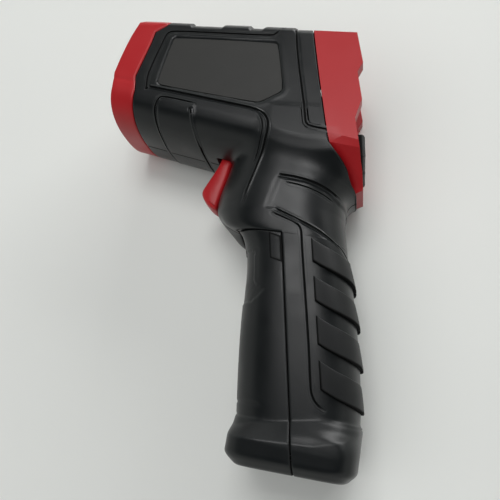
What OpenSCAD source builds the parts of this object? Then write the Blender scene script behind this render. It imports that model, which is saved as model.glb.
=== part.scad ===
// Infrared thermometer, pistol form.
// It lies on its right side: +X points from the nose to the display, +Y from the grip to the top rail,
// and +Z to the left side of the instrument. The origin is under the middle of its box, where it rests.
// Inside, x counts from the nose, y from the top rail (down is negative) and z from the middle plane.

/* [Head] */
// Width across the flat sides, which the foot of the grip shares
head_w = 43; // [41:0.5:46]
// Height of the head at the nose rim
nose_h = 43.9; // [42.5:0.1:46]
// Fall of the belly from the nose to the grip, in degrees
belly_slope = 8.9; // [8:0.1:9.6]
// Height of the rounded belly under the flat sides
belly_depth = 12.5; // [11:0.5:14]
// Chamfer along both top edges
top_chamfer = 3.2; // [2.5:0.1:4]
// Step between the top and its raised rail lands
rail_step = 1; // [0.6:0.1:1.4]
// Wall of the housings, the bezels and the door
wall = 2.2; // [1.8:0.1:2.5]
// Length of the nose bezel at the belly
nose_len = 8.8; // [8:0.1:10]
// How far the rim's foremost edge stands out, where the flat side turns into the belly
nose_peak = 1.7; // [0.9:0.1:2.4]
// Thickness of the rim at the front of the nose
nose_rim = 2.5; // [2:0.1:3]
// Width of the rim around the front plate
nose_rim_w = 5; // [4.2:0.1:5.6]

/* [Display end] */
// Distance from the nose rim to the display face at its top
face_x = 85.1; // [84.5:0.1:88]
// Depth of the display face's top edge under the rail
face_drop = 2; // [1.6:0.1:2.4]
// Lean of the display face from upright, in degrees
face_lean = 10.4; // [9.5:0.1:11]
// Length of the rear bezel at the top
bezel_len = 15.4; // [14.5:0.1:17]
// Lean of the joint between the housings and the rear bezel, in degrees
joint_lean = 15.8; // [15:0.1:16.4]
// Depth of the bezel's lower tip under the rail
bezel_h = 59.4; // [59:0.1:61]
// Height of the display window
window_h = 29; // [26:0.5:30]
// Width of the display window
window_w = 30; // [27:0.5:31]
// Thickness of the display window
window_t = 1.6; // [1.2:0.1:1.8]
// Depth of the display module
lcd_t = 4.7; // [4:0.1:5]
// Thickness of the main board
board_t = 1.6; // [1.2:0.1:1.8]

/* [Buttons] */
// Height of one button along the display face
key_h = 8.8; // [8:0.1:9]
// Gap between two neighbouring buttons
key_gap = 1.6; // [1.5:0.1:2.4]
// Width of one upper button
key_w = 12; // [10.5:0.1:12.6]
// How far the buttons stand out of the face
key_rise = 2.9; // [2.2:0.1:3.2]
// Travel of a button
key_travel = 0.6; // [0.4:0.05:0.7]

/* [Optics] */
// Bore of the lens tube
tube_d = 16; // [14:0.5:17]
// Wall of the lens tube
tube_wall = 1.8; // [1.4:0.1:2.2]
// Length of the lens tube
tube_len = 30; // [28:0.5:32]
// Depth of the lens axis under the rail
lens_y = 25; // [24:0.5:26]
// Thickness of the infrared lens
lens_t = 2; // [1.6:0.1:2.4]
// Diameter of the sensor can
can_d = 9.1; // [8:0.1:9.4]
// Diameter of the laser module
laser_d = 6.5; // [6:0.1:7]
// Length of the laser module
laser_len = 16; // [14:0.5:18]

/* [Trigger] */
// Width of the trigger
trigger_w = 10; // [9:0.5:11]
// Length of the trigger from its pivot to its lower end
trigger_len = 26.1; // [25:0.1:26.2]
// Turn of the trigger when pulled, in degrees
trigger_turn = 11; // [8:0.5:11]
// Diameter of the trigger pin
trigger_pin_d = 2.5; // [2:0.1:3]

/* [Grip] */
// Width of the grip at its middle
grip_w = 37; // [35:0.5:38.5]
// Lean of the grip, in degrees
grip_lean = 13.4; // [12.8:0.1:14]
// Length of the whole instrument from the rail to the bottom of the foot
grip_end = 153.6; // [152.5:0.1:156]
// Height of the flared foot
foot_h = 12; // [11:0.5:13]
// Depth that the grip pads stand out
pad_rise = 0.7; // [0.4:0.1:0.9]
// Number of slanted pads on each side
pad_count = 4; // [3:1:4]

/* [Battery door] */
// Depth of the door's top edge under the rail
door_top = 80.6; // [80.2:0.1:81.2]
// Gap around the door
door_gap = 0.3; // [0.25:0.05:0.4]
// Radius of the door's hinge knuckle
knuckle_r = 3.2; // [3:0.1:3.4]
// Diameter of the door's hinge pin
door_pin_d = 2.5; // [2:0.1:2.8]
// Travel of a door latch
latch_travel = 1.2; // [0.8:0.1:1.4]

/* [Batteries] */
// Diameter of one cell
cell_d = 10.5; // [10:0.1:10.8]
// Length of one cell, with its button
cell_len = 44.5; // [43.5:0.1:45]
// Length of a pressed contact spring
contact_len = 5; // [4.5:0.1:6]

/* [Hidden] */
$fn = 48;

half_w = head_w / 2;
// Running clearance on the radius of a pin, and the gap between pieces that slide past each other
pin_play = 0.05;
slide_gap = 0.25;
// Half of the cutting block that reaches past everything
far = 200;

// ---- Side outlines, as [x, y] ----

// Underside of the head on the middle plane
function belly_y(x) = -nose_h - x * tan(belly_slope);

// Joint between the nose bezel and the housings: longer on the top, and straight down the belly
nose_top_len = nose_len + 5.6;
nose_joint = [
    [nose_top_len, 5], [nose_top_len, -top_chamfer - 0.5], [nose_len + 1.5, -7],
    [nose_len - 1, -27], [nose_len + 0.2, -33.5], [nose_len, -60]
];

// Front of the nose: it leans out from the top to its foremost edge, and in a little under it
nose_front = [
    [2.6, 5], [1.8, -top_chamfer - 0.5], [-nose_peak, -26.3], [0.9 - nose_peak, -32.6],
    [0.9 - nose_peak, -60]
];

// Joint between the housings and the rear bezel: leans back, then runs along the grip to the bezel's tip
joint_x = face_x - bezel_len + 1.2;
knee_y = -47.3;
knee_x = joint_x - knee_y * tan(joint_lean);
function joint_line(shift) = [
    [joint_x - 5 * tan(joint_lean) + shift, 5], [knee_x + shift, knee_y],
    [knee_x + 7.8 + shift, knee_y - 8.3], [knee_x + 10.2 + shift, -bezel_h - 0.2]
];

// Cheeks of the rear bezel, with two teeth beside the window
function face_at(y) = face_x + (-face_drop - y) * tan(face_lean);
cheek_line = [
    [face_at(-face_drop) + 1.2, -face_drop], [face_at(-15.6) + 3.6, -15.6], [face_at(-19.7) + 1.5, -19.7],
    [face_at(-30.2) + 2.7, -30.2], [face_at(-37.6) + 0.2, -37.6], [face_at(-45.4) + 0.9, -45.4],
    [face_at(8.5 - bezel_h) + 1.6, 8.5 - bezel_h], [face_at(6.3 - bezel_h) + 2.1, 6.3 - bezel_h],
    [face_at(2 - bezel_h) + 2.3, 2 - bezel_h], [knee_x + 10.4, -bezel_h]
];

// ---- The grip as a loft of rounded sections ----

neck_x = 47.4;
chin_x = 45.6;
neck_y = -50;
chin_y = -70;
grip_y = -87;
grip_x = 62.3;
front_lean = 8.6;
flare_y = foot_h - grip_end - 0.5;
rear_x0 = 93.5;
rear_x1 = 108.6;
grip_half = grip_w / 2;
neck_half = half_w - 1.9;

function smooth(t) = let(c = min(1, max(0, t))) c * c * (3 - 2 * c);
function mix(a, b, t) = a + (b - a) * t;

// Front of the grip: the neck behind the trigger, the chin under it, then the leaning door
function front_x(y) =
    y >= chin_y ? mix(neck_x, chin_x, max(0, (neck_y - y) / (neck_y - chin_y)))
    : y >= grip_y ? mix(chin_x, grip_x, smooth((chin_y - y) / (chin_y - grip_y)))
    : grip_x + (grip_y - y) * tan(front_lean);

// Back of the grip: out to carry the bezel's tail, then a slack S that swells under it
tail_seat = 2;
function rear_x(y) =
    let(t = (chin_y - y) / (chin_y - flare_y))
    y >= chin_y ? rear_x0 + (chin_y - y) * 0.12 + tail_seat * smooth((y + 64) / 6)
    : (2 * pow(t, 3) - 3 * t * t + 1) * rear_x0 + (pow(t, 3) - 2 * t * t + t) * 17
        + (3 * t * t - 2 * pow(t, 3)) * rear_x1 + (pow(t, 3) - t * t) * 3.5;

function half_at(y) = mix(neck_half, grip_half, smooth((chin_y - y) / 18));

// One row: [height, front, rear, half width, squareness, tilt of the section]
shaft_rows = [for (y = [-30, -52, -58, -64, -70, -74, -78, -82, -86, -92, -101, -111, -122, -132])
    [y, front_x(y), rear_x(y), half_at(y), 3, 0]];
flare_rows = [
    [flare_y + 2.6, front_x(flare_y), rear_x(flare_y), grip_half, 3.2, 0.15],
    [flare_y - 1.2, front_x(flare_y) - 1.6, rear_x(flare_y) + 0.7, half_w - 0.8, 4, 0.1],
    [flare_y - 3, front_x(flare_y) - 2, rear_x(flare_y) + 0.9, half_w, 5, 0.05]
];
sole_tilt = 0.04;
foot_back = rear_x(flare_y) + 1.1;
// A row of the sole whose lowest point is rise above the end of the grip
function sole_row(rise, front, rear, half) =
    [rise - grip_end + sole_tilt * (rear - front) / 2, front, rear, half, 5, sole_tilt];
sole_rows = [
    sole_row(1.6, front_x(flare_y) - 0.6, foot_back, half_w),
    sole_row(0, front_x(flare_y) + 1.2, foot_back - 1.7, half_w - 1.5)
];
function floor_row(inset) = sole_row(inset, front_x(flare_y) - 1, foot_back, half_w);
ring_n = 28;

function section_point(row, t, inset) =
    let(a = (row[2] - row[1]) / 2 - inset, b = row[3] - inset, c = cos(t), s = sin(t),
        n = row[4],
        dx = a * sign(c) * pow(abs(c), 2 / n), dz = b * sign(s) * pow(abs(s), 2 / n))
    [(row[1] + row[2]) / 2 + dx, row[0] + row[5] * dx, dz];

// Solid skin over rings of n points each, closed by its first and last ring
module loft(rings) {
    n = len(rings[0]);
    m = len(rings);
    points = [for (ring = rings) each ring];
    sides = [for (i = [0:m - 2], j = [0:n - 1])
        let(k = (j + 1) % n)
        each [[i * n + j, i * n + k, (i + 1) * n + k], [i * n + j, (i + 1) * n + k, (i + 1) * n + j]]];
    polyhedron(points, concat(sides, [[for (j = [n - 1:-1:0]) j], [for (j = [0:n - 1]) (m - 1) * n + j]]));
}

// The grip and foot, drawn in by inset on every side; a hollow one stops above the foot's floor
module grip_form(inset = 0) {
    rows = concat(shaft_rows, flare_rows, inset > 0 ? [floor_row(inset)] : sole_rows);
    loft([for (row = rows) [for (j = [0:ring_n - 1]) section_point(row, -j * 360 / ring_n, inset)]]);
}

// ---- The head as two crossed prisms ----

module side_prism(points, z0 = -far, z1 = far) {
    translate([0, 0, z0]) linear_extrude(z1 - z0) polygon(points);
}

// Draws the children, given as [-z, y], from x0 to x1
module along_x(x0, x1) {
    translate([x0, 0, 0]) rotate([0, 90, 0]) linear_extrude(x1 - x0) children();
}

module belly_section(inset) {
    a = half_w - inset;
    b = belly_depth - inset;
    n = 2.4;
    polygon(concat(
        [for (t = [0:7.5:180])
            [-a * sign(cos(t)) * pow(abs(cos(t)), 2 / n), belly_depth - b * pow(sin(t), 2 / n)]],
        [[a, 90], [-a, 90]]));
}

module top_section(inset, drop = 0) {
    a = half_w - inset;
    c = top_chamfer;
    top = -inset - drop;
    polygon([[-a, -120], [-a, top - c], [c - a, top], [a - c, top], [a, top - c], [a, -120]]);
}

module head_form(inset = 0) {
    intersection() {
        translate([0, -nose_h, 0]) rotate([0, 0, -belly_slope])
            along_x(-30, 130) belly_section(inset);
        along_x(-20, 110) top_section(inset);
    }
}

// Everything in front of the nose joint, or behind it
module nose_zone() {
    side_prism(concat([[-30, 5]], nose_joint, [[-30, -60]]));
}

module behind_nose() {
    side_prism(concat([[120, 5]], [for (i = [0:len(nose_joint) - 1]) nose_joint[i]], [[120, -60]]));
}

// Where the rear bezel is: behind its joint and above its tip
module bezel_zone(grow = 0) {
    side_prism(concat(joint_line(-grow), [[130, -bezel_h - 4 - grow], [130, 5]]));
}

rail_lands = [[9, 24.2], [35.4, 47.9], [54, 68.7]];
module rail_gaps() {
    gaps = [[rail_lands[0][1], rail_lands[1][0]], [rail_lands[1][1], rail_lands[2][0]],
        [rail_lands[2][1], 120]];
    for (gap = gaps)
        side_prism([[gap[0], 5], [gap[0], 0], [gap[0] + 1.2, -rail_step], [gap[1] - 1.2, -rail_step],
            [gap[1], 0], [gap[1], 5]]);
}

// ---- The door's place on the grip ----

split_x = 74.6;
split_y = -door_top - 1;
hinge_y = knuckle_r + 0.6 - grip_end;
function split_at(y) = split_x + (split_y - y) * tan(grip_lean);
hinge_x = split_at(hinge_y) - knuckle_r - 0.1;

// Puts children in the grip's own axes: x square to the split, -y down along it
module on_grip() {
    translate([split_x, split_y, 0]) rotate([0, 0, grip_lean]) children();
}

// The front of the grip below the door's top edge, grown by the gap for the housings
module door_zone(grow = 0) {
    side_prism([
        [20, -door_top + grow], [split_x - 1.4 + grow, -door_top + grow], [split_x + grow, split_y + grow],
        [split_at(hinge_y) + grow, hinge_y], [hinge_x, hinge_y], [hinge_x, -far], [20, -far]]);
    translate([hinge_x, hinge_y, -far]) cylinder(r = knuckle_r + 2 * grow, h = 2 * far);
}

// ---- Optics layout ----

tube_x = nose_rim + 2;
tube_r = tube_d / 2 + tube_wall;
laser_y = -rail_step - wall - laser_d / 2 - 2.4;
cradle_x = [nose_len + 5, nose_len + 20];
cradle_t = 2;

// ---- Screws that join the two housings: [x, y] ----

screw_places = [[24, -8], [56, -9], [66, -40], [89, -78], [103.4, -131]];
screw_d = 2.2;
screw_head_d = 4.4;
post_r = 3;

// ---- Trigger layout ----

pivot_x = 46.5;
pivot_y = belly_y(pivot_x) + 6.7;
hub_r = 4;
slot_half = trigger_w / 2 + 0.5;
slot_front = pivot_x - hub_r - 0.7;
slot_rear = pivot_x + hub_r + 5;
slot_top = pivot_y + hub_r + 2.5;
slot_end_y = pivot_y - trigger_len - 0.6;
// The switch waits where the pulled trigger's back comes to
switch_drop = 16.5;
switch_x = pivot_x + switch_drop * tan(trigger_turn) + 1;
pin_seat = slot_half + 6;

// ---- Housings ----

module outer_form(inset) {
    difference() {
        union() {
            intersection() {
                head_form(inset);
                if (inset == 0) behind_nose();
            }
            grip_form(inset);
        }
        if (inset == 0) rail_gaps();
    }
}

module post(place, r) {
    translate([place[0], place[1], 0]) cylinder(r = r, h = far);
}

// Ribs inside a housing: cradles for the tube and laser, seats for the tray and the trigger switch
module inner_ribs() {
    for (x = cradle_x) difference() {
        translate([x, 6 - nose_h, 0]) cube([cradle_t, nose_h, far]);
        translate([0, -lens_y, 0]) rotate([0, 90, 0]) cylinder(r = tube_r + 0.05, h = far);
        translate([0, laser_y, 0]) rotate([0, 90, 0]) cylinder(r = laser_d / 2 + 0.05, h = far);
    }
    on_grip() for (drop = [7, 45])
        translate([2, tray_top - drop, tray_half]) cube([9, 1.6, far]);
    translate([switch_x + 5, pivot_y - switch_drop - 4.5, 0]) cube([2, 9, far]);
    for (p = screw_places) post(p, post_r);
    translate([pivot_x, pivot_y, slot_half + 0.5]) cylinder(r = 3.2, h = far);
    hinge_lug();
}

// Lug that holds the door's hinge pin
lug_z = [3, 9.6];
module hinge_lug() {
    translate([hinge_x, hinge_y, lug_z[0]]) {
        cylinder(r = 2.6, h = lug_z[1] - lug_z[0]);
        translate([0, -2.2, 0]) cube([11, 4.2, lug_z[1] - lug_z[0]]);
    }
}

label_recess = 0.5;
label_points = [
    [17, -8.6], [59.2, -8.6], [65, -29.6], [58, -34.6], [54.8, -35], [17, -30.8]
];

// Sunk panel around the label plate
module label_sink() {
    side_prism(label_points, half_w - label_recess, far);
}

// One half of the shell, on the +z side; the other is its mirror image
module housing_half() {
    difference() {
        outer_form(0);
        difference() {
            outer_form(wall);
            inner_ribs();
        }
        translate([0, 0, -far]) cube([4 * far, 4 * far, 2 * far], center = true);
        bezel_zone(0);
        difference() {
            door_zone(door_gap);
            hinge_lug();
        }
        label_sink();
        side_prism([[slot_front, slot_top], [slot_rear, slot_top], [slot_rear, slot_end_y],
            [20, slot_end_y], [20, pivot_y - 11], [slot_front, pivot_y - 11]], -1, slot_half);
        translate([pivot_x, pivot_y, -1]) cylinder(d = trigger_pin_d, h = pin_seat + 1);
        translate([hinge_x, hinge_y, -1]) cylinder(d = door_pin_d, h = far);
        children();
    }
}

module left_housing() {
    color("#1d2121") housing_half()
        for (p = screw_places)
            translate([p[0], p[1], -1]) cylinder(d = screw_d - 0.4, h = half_w - 5);
}

module right_housing() {
    color("#1d2121") mirror([0, 0, 1]) housing_half() {
        for (p = screw_places) {
            post([p[0], p[1]], screw_d / 2 + 0.1);
            translate([p[0], p[1], screw_seat(p)]) cylinder(d = screw_head_d + 0.6, h = far);
        }
    }
}

// Depth of a screw head's seat from the middle plane
function screw_seat(p) = p[1] > -60 ? half_w - 4 : grip_half - 5;
function screw_tip(p) = p[1] > -60 ? half_w - 7 : grip_half - 6;

module housing_screws() {
    color("#8a8d8f") for (p = screw_places)
        translate([p[0], p[1], -screw_seat(p)]) difference() {
            union() {
                cylinder(d = screw_d - 0.4, h = screw_seat(p) + screw_tip(p));
                translate([0, 0, -1.6]) cylinder(d = screw_head_d, h = 1.6);
            }
            for (turn = [0, 90])
                rotate([0, 0, turn]) translate([-1.2, -0.3, -2]) cube([2.4, 0.6, 1.2]);
        }
}

// ---- Nose ----

module nose_bezel() {
    color("#a52a2d") difference() {
        intersection() {
            head_form(0);
            nose_zone();
            side_prism(concat([[60, 5]], nose_front, [[60, -60]]));
        }
        intersection() {
            head_form(wall);
            side_prism([[nose_rim, 5], [60, 5], [60, -60], [nose_rim, -60]]);
        }
        intersection() {
            head_form(nose_rim_w);
            side_prism([[-5, 5], [60, 5], [60, -60], [-5, -60]]);
        }
    }
}

module front_plate() {
    color("#101212") difference() {
        intersection() {
            head_form(wall + 0.05);
            side_prism([[nose_rim, 5], [tube_x, 5], [tube_x, -60], [nose_rim, -60]]);
        }
        translate([0, -lens_y, 0]) rotate([0, 90, 0]) cylinder(d = tube_d, h = 20);
        translate([0, laser_y, 0]) rotate([0, 90, 0]) cylinder(d = 3.6, h = 20);
        translate([0, laser_y, 0]) rotate([0, 90, 0]) cylinder(d = 5.6, h = nose_rim + 1);
    }
}

module laser_window() {
    color("#b03030") translate([nose_rim, laser_y, 0]) rotate([0, 90, 0]) cylinder(d = 5.4, h = 0.9);
}

module laser_module() {
    color("#b59a55") translate([tube_x, laser_y, 0]) rotate([0, 90, 0]) difference() {
        cylinder(d = laser_d, h = laser_len);
        translate([0, 0, -1]) cylinder(d = 3.2, h = 3);
    }
}

lens_x = tube_x + 6;
module lens_tube() {
    color("#17191a") translate([0, -lens_y, 0]) rotate([0, 90, 0]) difference() {
        translate([0, 0, tube_x]) cylinder(r = tube_r, h = tube_len);
        translate([0, 0, tube_x - 1]) cylinder(d = tube_d, h = lens_x + lens_t + 1 - tube_x);
        translate([0, 0, lens_x + lens_t - 1]) cylinder(d = tube_d - 2.4, h = tube_len);
    }
}

module infrared_lens() {
    color("#c9c3b4") translate([0, -lens_y, 0]) rotate([0, 90, 0]) {
        translate([0, 0, lens_x]) cylinder(d = tube_d, h = lens_t);
        for (d = [3.6, 7.2, 10.8])
            translate([0, 0, lens_x - 0.25]) difference() {
                cylinder(d = d, h = 0.3);
                translate([0, 0, -1]) cylinder(d = d - 1, h = 2);
            }
    }
}

module thermopile_sensor() {
    color("#b9bcc0") translate([tube_x + tube_len, -lens_y, 0]) rotate([0, -90, 0]) {
        cylinder(d = can_d, h = 1);
        cylinder(d = can_d - 1, h = 4.6);
    }
}

module sensor_board() {
    color("#1f5a38") translate([tube_x + tube_len, -lens_y, 0]) rotate([0, 90, 0]) {
        cylinder(r = tube_r, h = board_t);
        translate([-2.5, -5, board_t]) cube([5, 10, 2.6]);
    }
}

// ---- Display end ----

// Puts children on the display face: x out of the face, -y down along it
module on_face() {
    translate([face_x, -face_drop, 0]) rotate([0, 0, face_lean]) children();
}

// Outline of the rear bezel seen from behind, as [-z, y]: under the display it tapers to its tail
waist_y = -47.5;
waist_in = 1.2;
tail_half = 7.6;
tail_end = 1.8;
module rear_view(inset) {
    a = half_w - inset;
    top = -rail_step - inset;
    bottom = inset - bezel_h;
    polygon([
        [-a, top - top_chamfer + 0.8], [top_chamfer - a, top], [a - top_chamfer, top],
        [a, top - top_chamfer + 0.8], [a, -43.8], [a - waist_in, waist_y],
        [tail_half - inset, bottom + tail_end], [tail_half - inset, bottom],
        [inset - tail_half, bottom], [inset - tail_half, bottom + tail_end],
        [waist_in - a, waist_y], [-a, -43.8]]);
}

module bezel_body(inset) {
    intersection() {
        along_x(40, 120) rear_view(inset);
        side_prism(concat(joint_line(0), [for (i = [len(cheek_line) - 1:-1:0]) cheek_line[i]],
            [[face_at(0), 5]]));
    }
}

face_wall = 2.4;
// Height at which the cheeks close under the buttons
tip_y = 8.9 - bezel_h;
window_top = 4;
row_top = 37.9;
cheek_w = 4.6;
lcd_w = 26.5;
board_half = half_w - wall - 1.3;
boss_z = board_half - 2;
boss_s = [7, 38.5];

// The board from the top of the display face: its top, where it narrows, and its lower end
board_high = 2.4;
board_knee = boss_s[1] + 2.5;
board_low = row_top + key_h + 4.8;
chip_w = 9;
chip_t = 1.2;
socket_w = 10;
socket_h = 4;
socket_t = 4;

module key_hole(z0, grow) {
    w = key_w;
    translate([-far / 2, -row_top - key_h - grow, z0 - w / 2 - grow])
        cube([far, key_h + 2 * grow, w + 2 * grow]);
}

// Middle of each button across the face
key_z = (key_w + key_gap) / 2;

module rear_bezel() {
    color("#a52a2d") difference() {
        union() {
            difference() {
                bezel_body(0);
                // Space between the cheeks, down to the face
                intersection() {
                    on_face() translate([0, -far / 2, cheek_w - half_w])
                        cube([far, far + 100, head_w - 2 * cheek_w]);
                    side_prism([[60, 5], [130, 5], [130, tip_y], [60, tip_y]]);
                }
                // Hollow behind the face
                intersection() {
                    along_x(40, 120) rear_view(wall);
                    on_face() translate([-far - face_wall, -far, -far]) cube([far, 2 * far, 2 * far]);
                }
            }
            on_face() for (s = boss_s, side = [-1, 1])
                translate([-face_wall - lcd_t - 0.3, -s, side * boss_z])
                    rotate([0, 90, 0]) cylinder(d = 4.4, h = lcd_t + 0.4);
        }
        on_face() {
            translate([-window_t, -window_top - window_h, -window_w / 2])
                cube([far, window_h, window_w]);
            translate([-far / 2, -window_top - window_h + 1.2, 1.2 - window_w / 2])
                cube([far, window_h - 2.4, window_w - 2.4]);
            for (z0 = [-key_z, key_z]) key_hole(z0, slide_gap);
            for (s = boss_s, side = [-1, 1])
                translate([-face_wall - lcd_t - 1, -s, side * boss_z])
                    rotate([0, 90, 0]) cylinder(d = 1.6, h = lcd_t + 1);
        }
    }
}

module display_window() {
    color("#2b3330") on_face()
        translate([-window_t, -window_top - window_h + 0.05, 0.05 - window_w / 2])
            cube([window_t, window_h - 0.1, window_w - 0.1]);
}

board_x = -face_wall - lcd_t - 0.3;
module lcd_module() {
    color("#9aa59a") on_face()
        translate([board_x, -window_top - window_h + 0.8, -lcd_w / 2])
            cube([lcd_t, window_h - 1.6, lcd_w]);
}

module main_board() {
    color("#1f5a38") on_face() difference() {
        union() {
            translate([board_x - board_t, -board_low, -board_half / 2])
                cube([board_t, board_low - board_high, board_half]);
            translate([board_x - board_t, -board_knee, -board_half])
                cube([board_t, board_knee - board_high, 2 * board_half]);
            // Processor and battery socket
            translate([board_x - board_t - chip_t, -board_knee - chip_w / 2, -chip_w / 2])
                cube([chip_t, chip_w, chip_w]);
            translate([board_x - board_t - socket_t, 1 - board_low, -socket_w / 2])
                cube([socket_t, socket_h, socket_w]);
        }
        for (s = boss_s, side = [-1, 1])
            translate([board_x - board_t - 1, -s, side * boss_z])
                rotate([0, 90, 0]) cylinder(d = 2.2, h = board_t + 2);
    }
}

module board_screws() {
    color("#8a8d8f") on_face() for (s = boss_s, side = [-1, 1])
        translate([board_x - board_t, -s, side * boss_z]) rotate([0, 90, 0]) {
            cylinder(d = 1.6, h = board_t + 4);
            translate([0, 0, -1.1]) cylinder(d = 3.4, h = 1.1);
        }
}

buzzer_s = 20;
buzzer_d = 12;
buzzer_h = 4.4;
module buzzer() {
    color("#141414") on_face() translate([board_x - board_t, -buzzer_s, 0]) rotate([0, -90, 0])
        difference() {
            cylinder(d = buzzer_d, h = buzzer_h);
            translate([0, 0, buzzer_h - 0.8]) cylinder(d = buzzer_d / 6, h = buzzer_h);
        }
}

key_foot = 0.8;
key_lip = 0.4;
key_stop = face_wall + slide_gap;

// Free length between the board and a button's foot, less the button's travel
stem_len = -board_x - key_stop - key_foot - key_travel - 0.05;
module key_switches() {
    color("#b9bcc0") on_face() for (z0 = [-key_z, key_z])
        translate([board_x, -row_top - key_h / 2, z0]) {
            translate([0, -2.5, -2.5]) cube([stem_len - 0.6, 5, 5]);
            rotate([0, 90, 0]) cylinder(d = 2.8, h = stem_len);
        }
}

// A button: a cap that slides in the bezel, with a flange behind the wall
module button(z0) {
    w = key_w;
    color("#17191a") on_face() translate([0, -row_top - key_h / 2, z0]) {
        hull() {
            translate([-key_stop, -key_h / 2, -w / 2]) cube([key_stop + key_rise - 1.2, key_h, w]);
            translate([0, 1.1 - key_h / 2, 1.1 - w / 2]) cube([key_rise, key_h - 2.2, w - 2.2]);
        }
        translate([-key_stop - key_foot, -key_h / 2 - key_lip, -w / 2 - key_lip])
            cube([key_foot, key_h + 2 * key_lip, w + 2 * key_lip]);
    }
}

module left_button() {
    button(key_z);
}

module right_button() {
    button(-key_z);
}

// ---- Label plates ----

module left_label_plate() {
    color("#262624") side_prism([for (p = label_points)
        [mix(p[0], 38, 0.004), mix(p[1], -20, 0.004)]], half_w - label_recess, half_w - 0.1);
}

module right_label_plate() {
    color("#262624") mirror([0, 0, 1]) side_prism([for (p = label_points)
        [mix(p[0], 38, 0.004), mix(p[1], -20, 0.004)]], half_w - label_recess, half_w - 0.1);
}

// ---- Trigger ----

// Side outline of the trigger, from its pivot
trigger_outline = [
    [-3.4, -4], [-3.9, -8], [-5.2, -11.4], [-7.4, -17], [-8.1, -19.2], [-7.9, -20.6], [-6.6, -22.5],
    [-4.3, -24.6], [-1.9, 0.4 - trigger_len], [-0.5, 0.4 - trigger_len], [-0.4, -20], [0.9, -13],
    [1, -7], [3.4, -2]
];

spring_half = 2.2;
module trigger() {
    color("#a52a2d") translate([pivot_x, pivot_y, 0]) difference() {
        union() {
            side_prism(trigger_outline, -trigger_w / 2, trigger_w / 2);
            translate([0, 0, -trigger_w / 2]) cylinder(r = hub_r, h = trigger_w);
        }
        translate([0, 0, -spring_half]) cylinder(r = 6, h = 2 * spring_half);
        translate([0, 0, -trigger_w]) cylinder(r = trigger_pin_d / 2 + pin_play, h = 2 * trigger_w);
    }
}

module trigger_pin() {
    color("#b9bcc0") translate([pivot_x, pivot_y, -pin_seat])
        cylinder(d = trigger_pin_d, h = 2 * pin_seat);
}

// Wire of r around a helix that starts at radius r0, ends at r1 and climbs to h, along +z
module coil(r0, r1, h, turns, wire, sides = 7, steps = 12) {
    n = turns * steps;
    loft([for (i = [0:n])
        let(t = i / n, a = t * turns * 360, radius = mix(r0, r1, t))
        [for (j = [0:sides - 1])
            let(b = j * 360 / sides, out = radius + wire * cos(b))
            [out * cos(a), out * sin(a), t * h + wire * sin(b)]]]);
}

spring_wire = 0.35;
module trigger_spring() {
    r = trigger_pin_d / 2 + spring_wire + 0.2;
    color("#9aa0a4") translate([pivot_x, pivot_y, spring_wire - spring_half + 0.1])
        coil(r, r, 2 * (spring_half - spring_wire - 0.1), 4, spring_wire);
}

module trigger_switch() {
    color("#232323") {
        translate([switch_x + 1, pivot_y - switch_drop - 3.5, -3]) cube([4, 7, 6]);
        translate([switch_x, pivot_y - switch_drop, 0]) rotate([0, 90, 0]) cylinder(d = 2.4, h = 1.2);
    }
}

// ---- Battery door ----

latch_points = [[-4.4, 0.6], [-4.4, -8.4], [0, -8.4], [0, 0.6]];

// The latch's window through the door's side, grown on every side
module latch_zone(grow) {
    on_grip() side_prism([[latch_points[0][0] - grow, 5], [latch_points[1][0] - grow, -8.4 - grow],
        [5, -8.4 - grow], [5, 5]], grip_half - 6, far);
}

door_ear = 10;
module battery_door() {
    color("#1d2121") difference() {
        union() {
            intersection() {
                difference() {
                    grip_form(0);
                    grip_form(wall);
                }
                door_zone(0);
            }
            // Knuckles for the hinge pin, inside both sides of the foot
            for (side = [-1, 1]) intersection() {
                translate([hinge_x, hinge_y, side > 0 ? door_ear : -far])
                    cylinder(r = knuckle_r, h = far - door_ear);
                grip_form(0);
            }
        }
        translate([hinge_x, hinge_y, -door_ear]) cylinder(r = knuckle_r + 0.2, h = 2 * door_ear);
        translate([hinge_x, hinge_y - far, -door_ear]) cube([far, far, 2 * door_ear]);
        translate([hinge_x, hinge_y, -half_w + wall + 0.5])
            cylinder(r = door_pin_d / 2 + pin_play, h = head_w - 2 * wall - 1);
        latch_zone(slide_gap);
        mirror([0, 0, 1]) latch_zone(slide_gap);
    }
}

module door_hinge_pin() {
    h = head_w - 2 * wall - 1.4;
    color("#b9bcc0") translate([hinge_x, hinge_y, -h / 2]) cylinder(d = door_pin_d, h = h);
}

// A push latch in the door's side: a pad flush with the grip, with a flange and a hook behind the wall
latch_foot = 2;
latch_z = grip_half - wall - latch_foot - latch_travel - 0.7;
module door_latch() {
    intersection() {
        grip_form(0);
        on_grip() side_prism([for (p = latch_points) [p[0], min(p[1], -0.4)]], latch_z, far);
    }
    on_grip() {
        side_prism([[-5.4, -0.4], [-5.4, -9.2], [0, -9.2], [0, -0.4]], latch_z, latch_z + latch_foot);
        side_prism([[-2, -1.5], [-2, -7], [2.4, -7], [2.4, -1.5]], latch_z, latch_z + latch_foot);
    }
}

module left_door_latch() {
    color("#141717") door_latch();
}

module right_door_latch() {
    color("#141717") mirror([0, 0, 1]) door_latch();
}

// ---- Battery tray, in the grip's axes ----

tray_wall = 1.2;
tray_half = cell_d + tray_wall + 0.5;
tray_len = cell_len + contact_len + 2 * tray_wall + 0.4;
tray_top = -9.9;
tray_x = -0.4;
cell_x = tray_x + cell_d / 2 + 0.6;
cell_z = cell_d / 2 + 0.2;

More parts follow.
